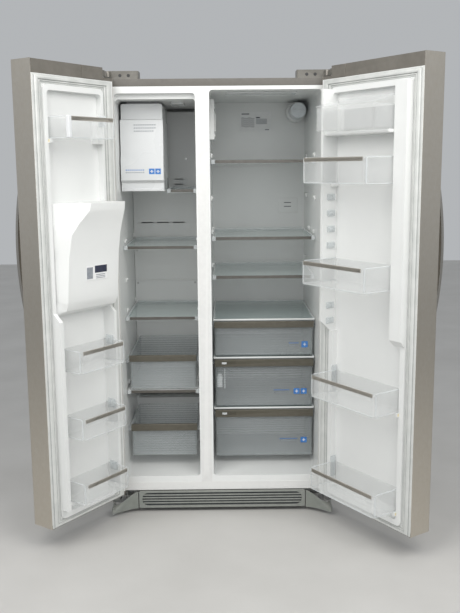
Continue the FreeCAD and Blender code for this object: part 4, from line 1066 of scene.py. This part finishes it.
# ---- fridge door: ledge under the dairy bin; freezer door: white bin bracket ----
ledge = bmesh.new()
add_door_block(ledge, 1, 0.0735, 0.4065, -0.052, 0.0138, 1.5205, 1.5335, 0.0045, 3)
finished_piece("dairy_bin_ledge", ledge, white_liner, "fridge_door")
bracket = bmesh.new()
add_door_block(bracket, -1, 0.3175, 0.3325, -0.1048, -0.0900, 1.5140, 1.5885, 0.0030, 3)
finished_piece("freezer_bin_bracket", bracket, slider_white, "freezer_door")

# ---- stage, lights and camera ----
FLOOR_REACH = 9
floor = bmesh.new()
add_block(floor, (-FLOOR_REACH, -FLOOR_REACH, -0.02), (FLOOR_REACH, FLOOR_REACH, 0))
floor_mesh = bpy.data.meshes.new("floor")
floor.to_mesh(floor_mesh)
floor.free()
floor_piece = bpy.data.objects.new("floor", floor_mesh)
bpy.context.scene.collection.objects.link(floor_piece)
floor_finish = finish_of(
    "pale_floor", (0.55, 0.54, 0.52), (0.6, 0.59, 0.57), (EVEN, 2.5, 5), (0.45, 0.6), (EVEN, 300, 0.0001))
floor_mesh.materials.append(floor_finish)

world = bpy.context.scene.world or bpy.data.worlds.new("studio")
bpy.context.scene.world = world
world.use_nodes = True
backdrop = world.node_tree.nodes["Background"]
backdrop.inputs["Color"].default_value = (0.9, 0.93, 0.96, 1)
backdrop.inputs["Strength"].default_value = 0.5


def soft_light(name, place, aim, width, height, power, colour):
    lamp = bpy.data.lights.new(name, "AREA")
    lamp.shape = "RECTANGLE"
    lamp.size = width
    lamp.size_y = height
    lamp.energy = power
    lamp.color = colour
    holder = bpy.data.objects.new(name, lamp)
    holder.location = place
    holder.rotation_euler = (Vector(aim) - Vector(place)).to_track_quat("-Z", "Y").to_euler()
    bpy.context.scene.collection.objects.link(holder)


for name, way in (("ceiling_left", -1), ("ceiling_right", 1)):
    soft_light(name, (way * 1.2, -1.9, 2.9), (-way * 0.1, -0.2, 0.9), 1.8, 1.8, 45, (1, 0.985, 0.96))
soft_light("front_fill", (0.0, -4.6, 1.7), (0, 0, 0.9), 3.2, 2.0, 24, (0.97, 0.985, 1))
bpy.context.scene.view_settings.view_transform = "Standard"

CAMERA_PLACE = (0.018, -3.1754, 1.4062)
camera = bpy.data.cameras.new("camera")
camera.sensor_width = 36
camera.lens = 47.35
camera.clip_end = 50
yaw, pitch, roll = math.radians(0.39), math.radians(9.72), math.radians(-0.5)
ahead = Vector((math.sin(yaw) * math.cos(pitch), math.cos(yaw) * math.cos(pitch), -math.sin(pitch)))
right = Vector((math.cos(yaw), -math.sin(yaw), 0))
up = right.cross(ahead)
across = right * math.cos(roll) + up * math.sin(roll)
upright = up * math.cos(roll) - right * math.sin(roll)
view = Matrix((across, upright, -ahead)).transposed().to_4x4()
view.translation = Vector(CAMERA_PLACE)
camera_holder = bpy.data.objects.new("camera", camera)
camera_holder.matrix_world = view
bpy.context.scene.collection.objects.link(camera_holder)
bpy.context.scene.camera = camera_holder
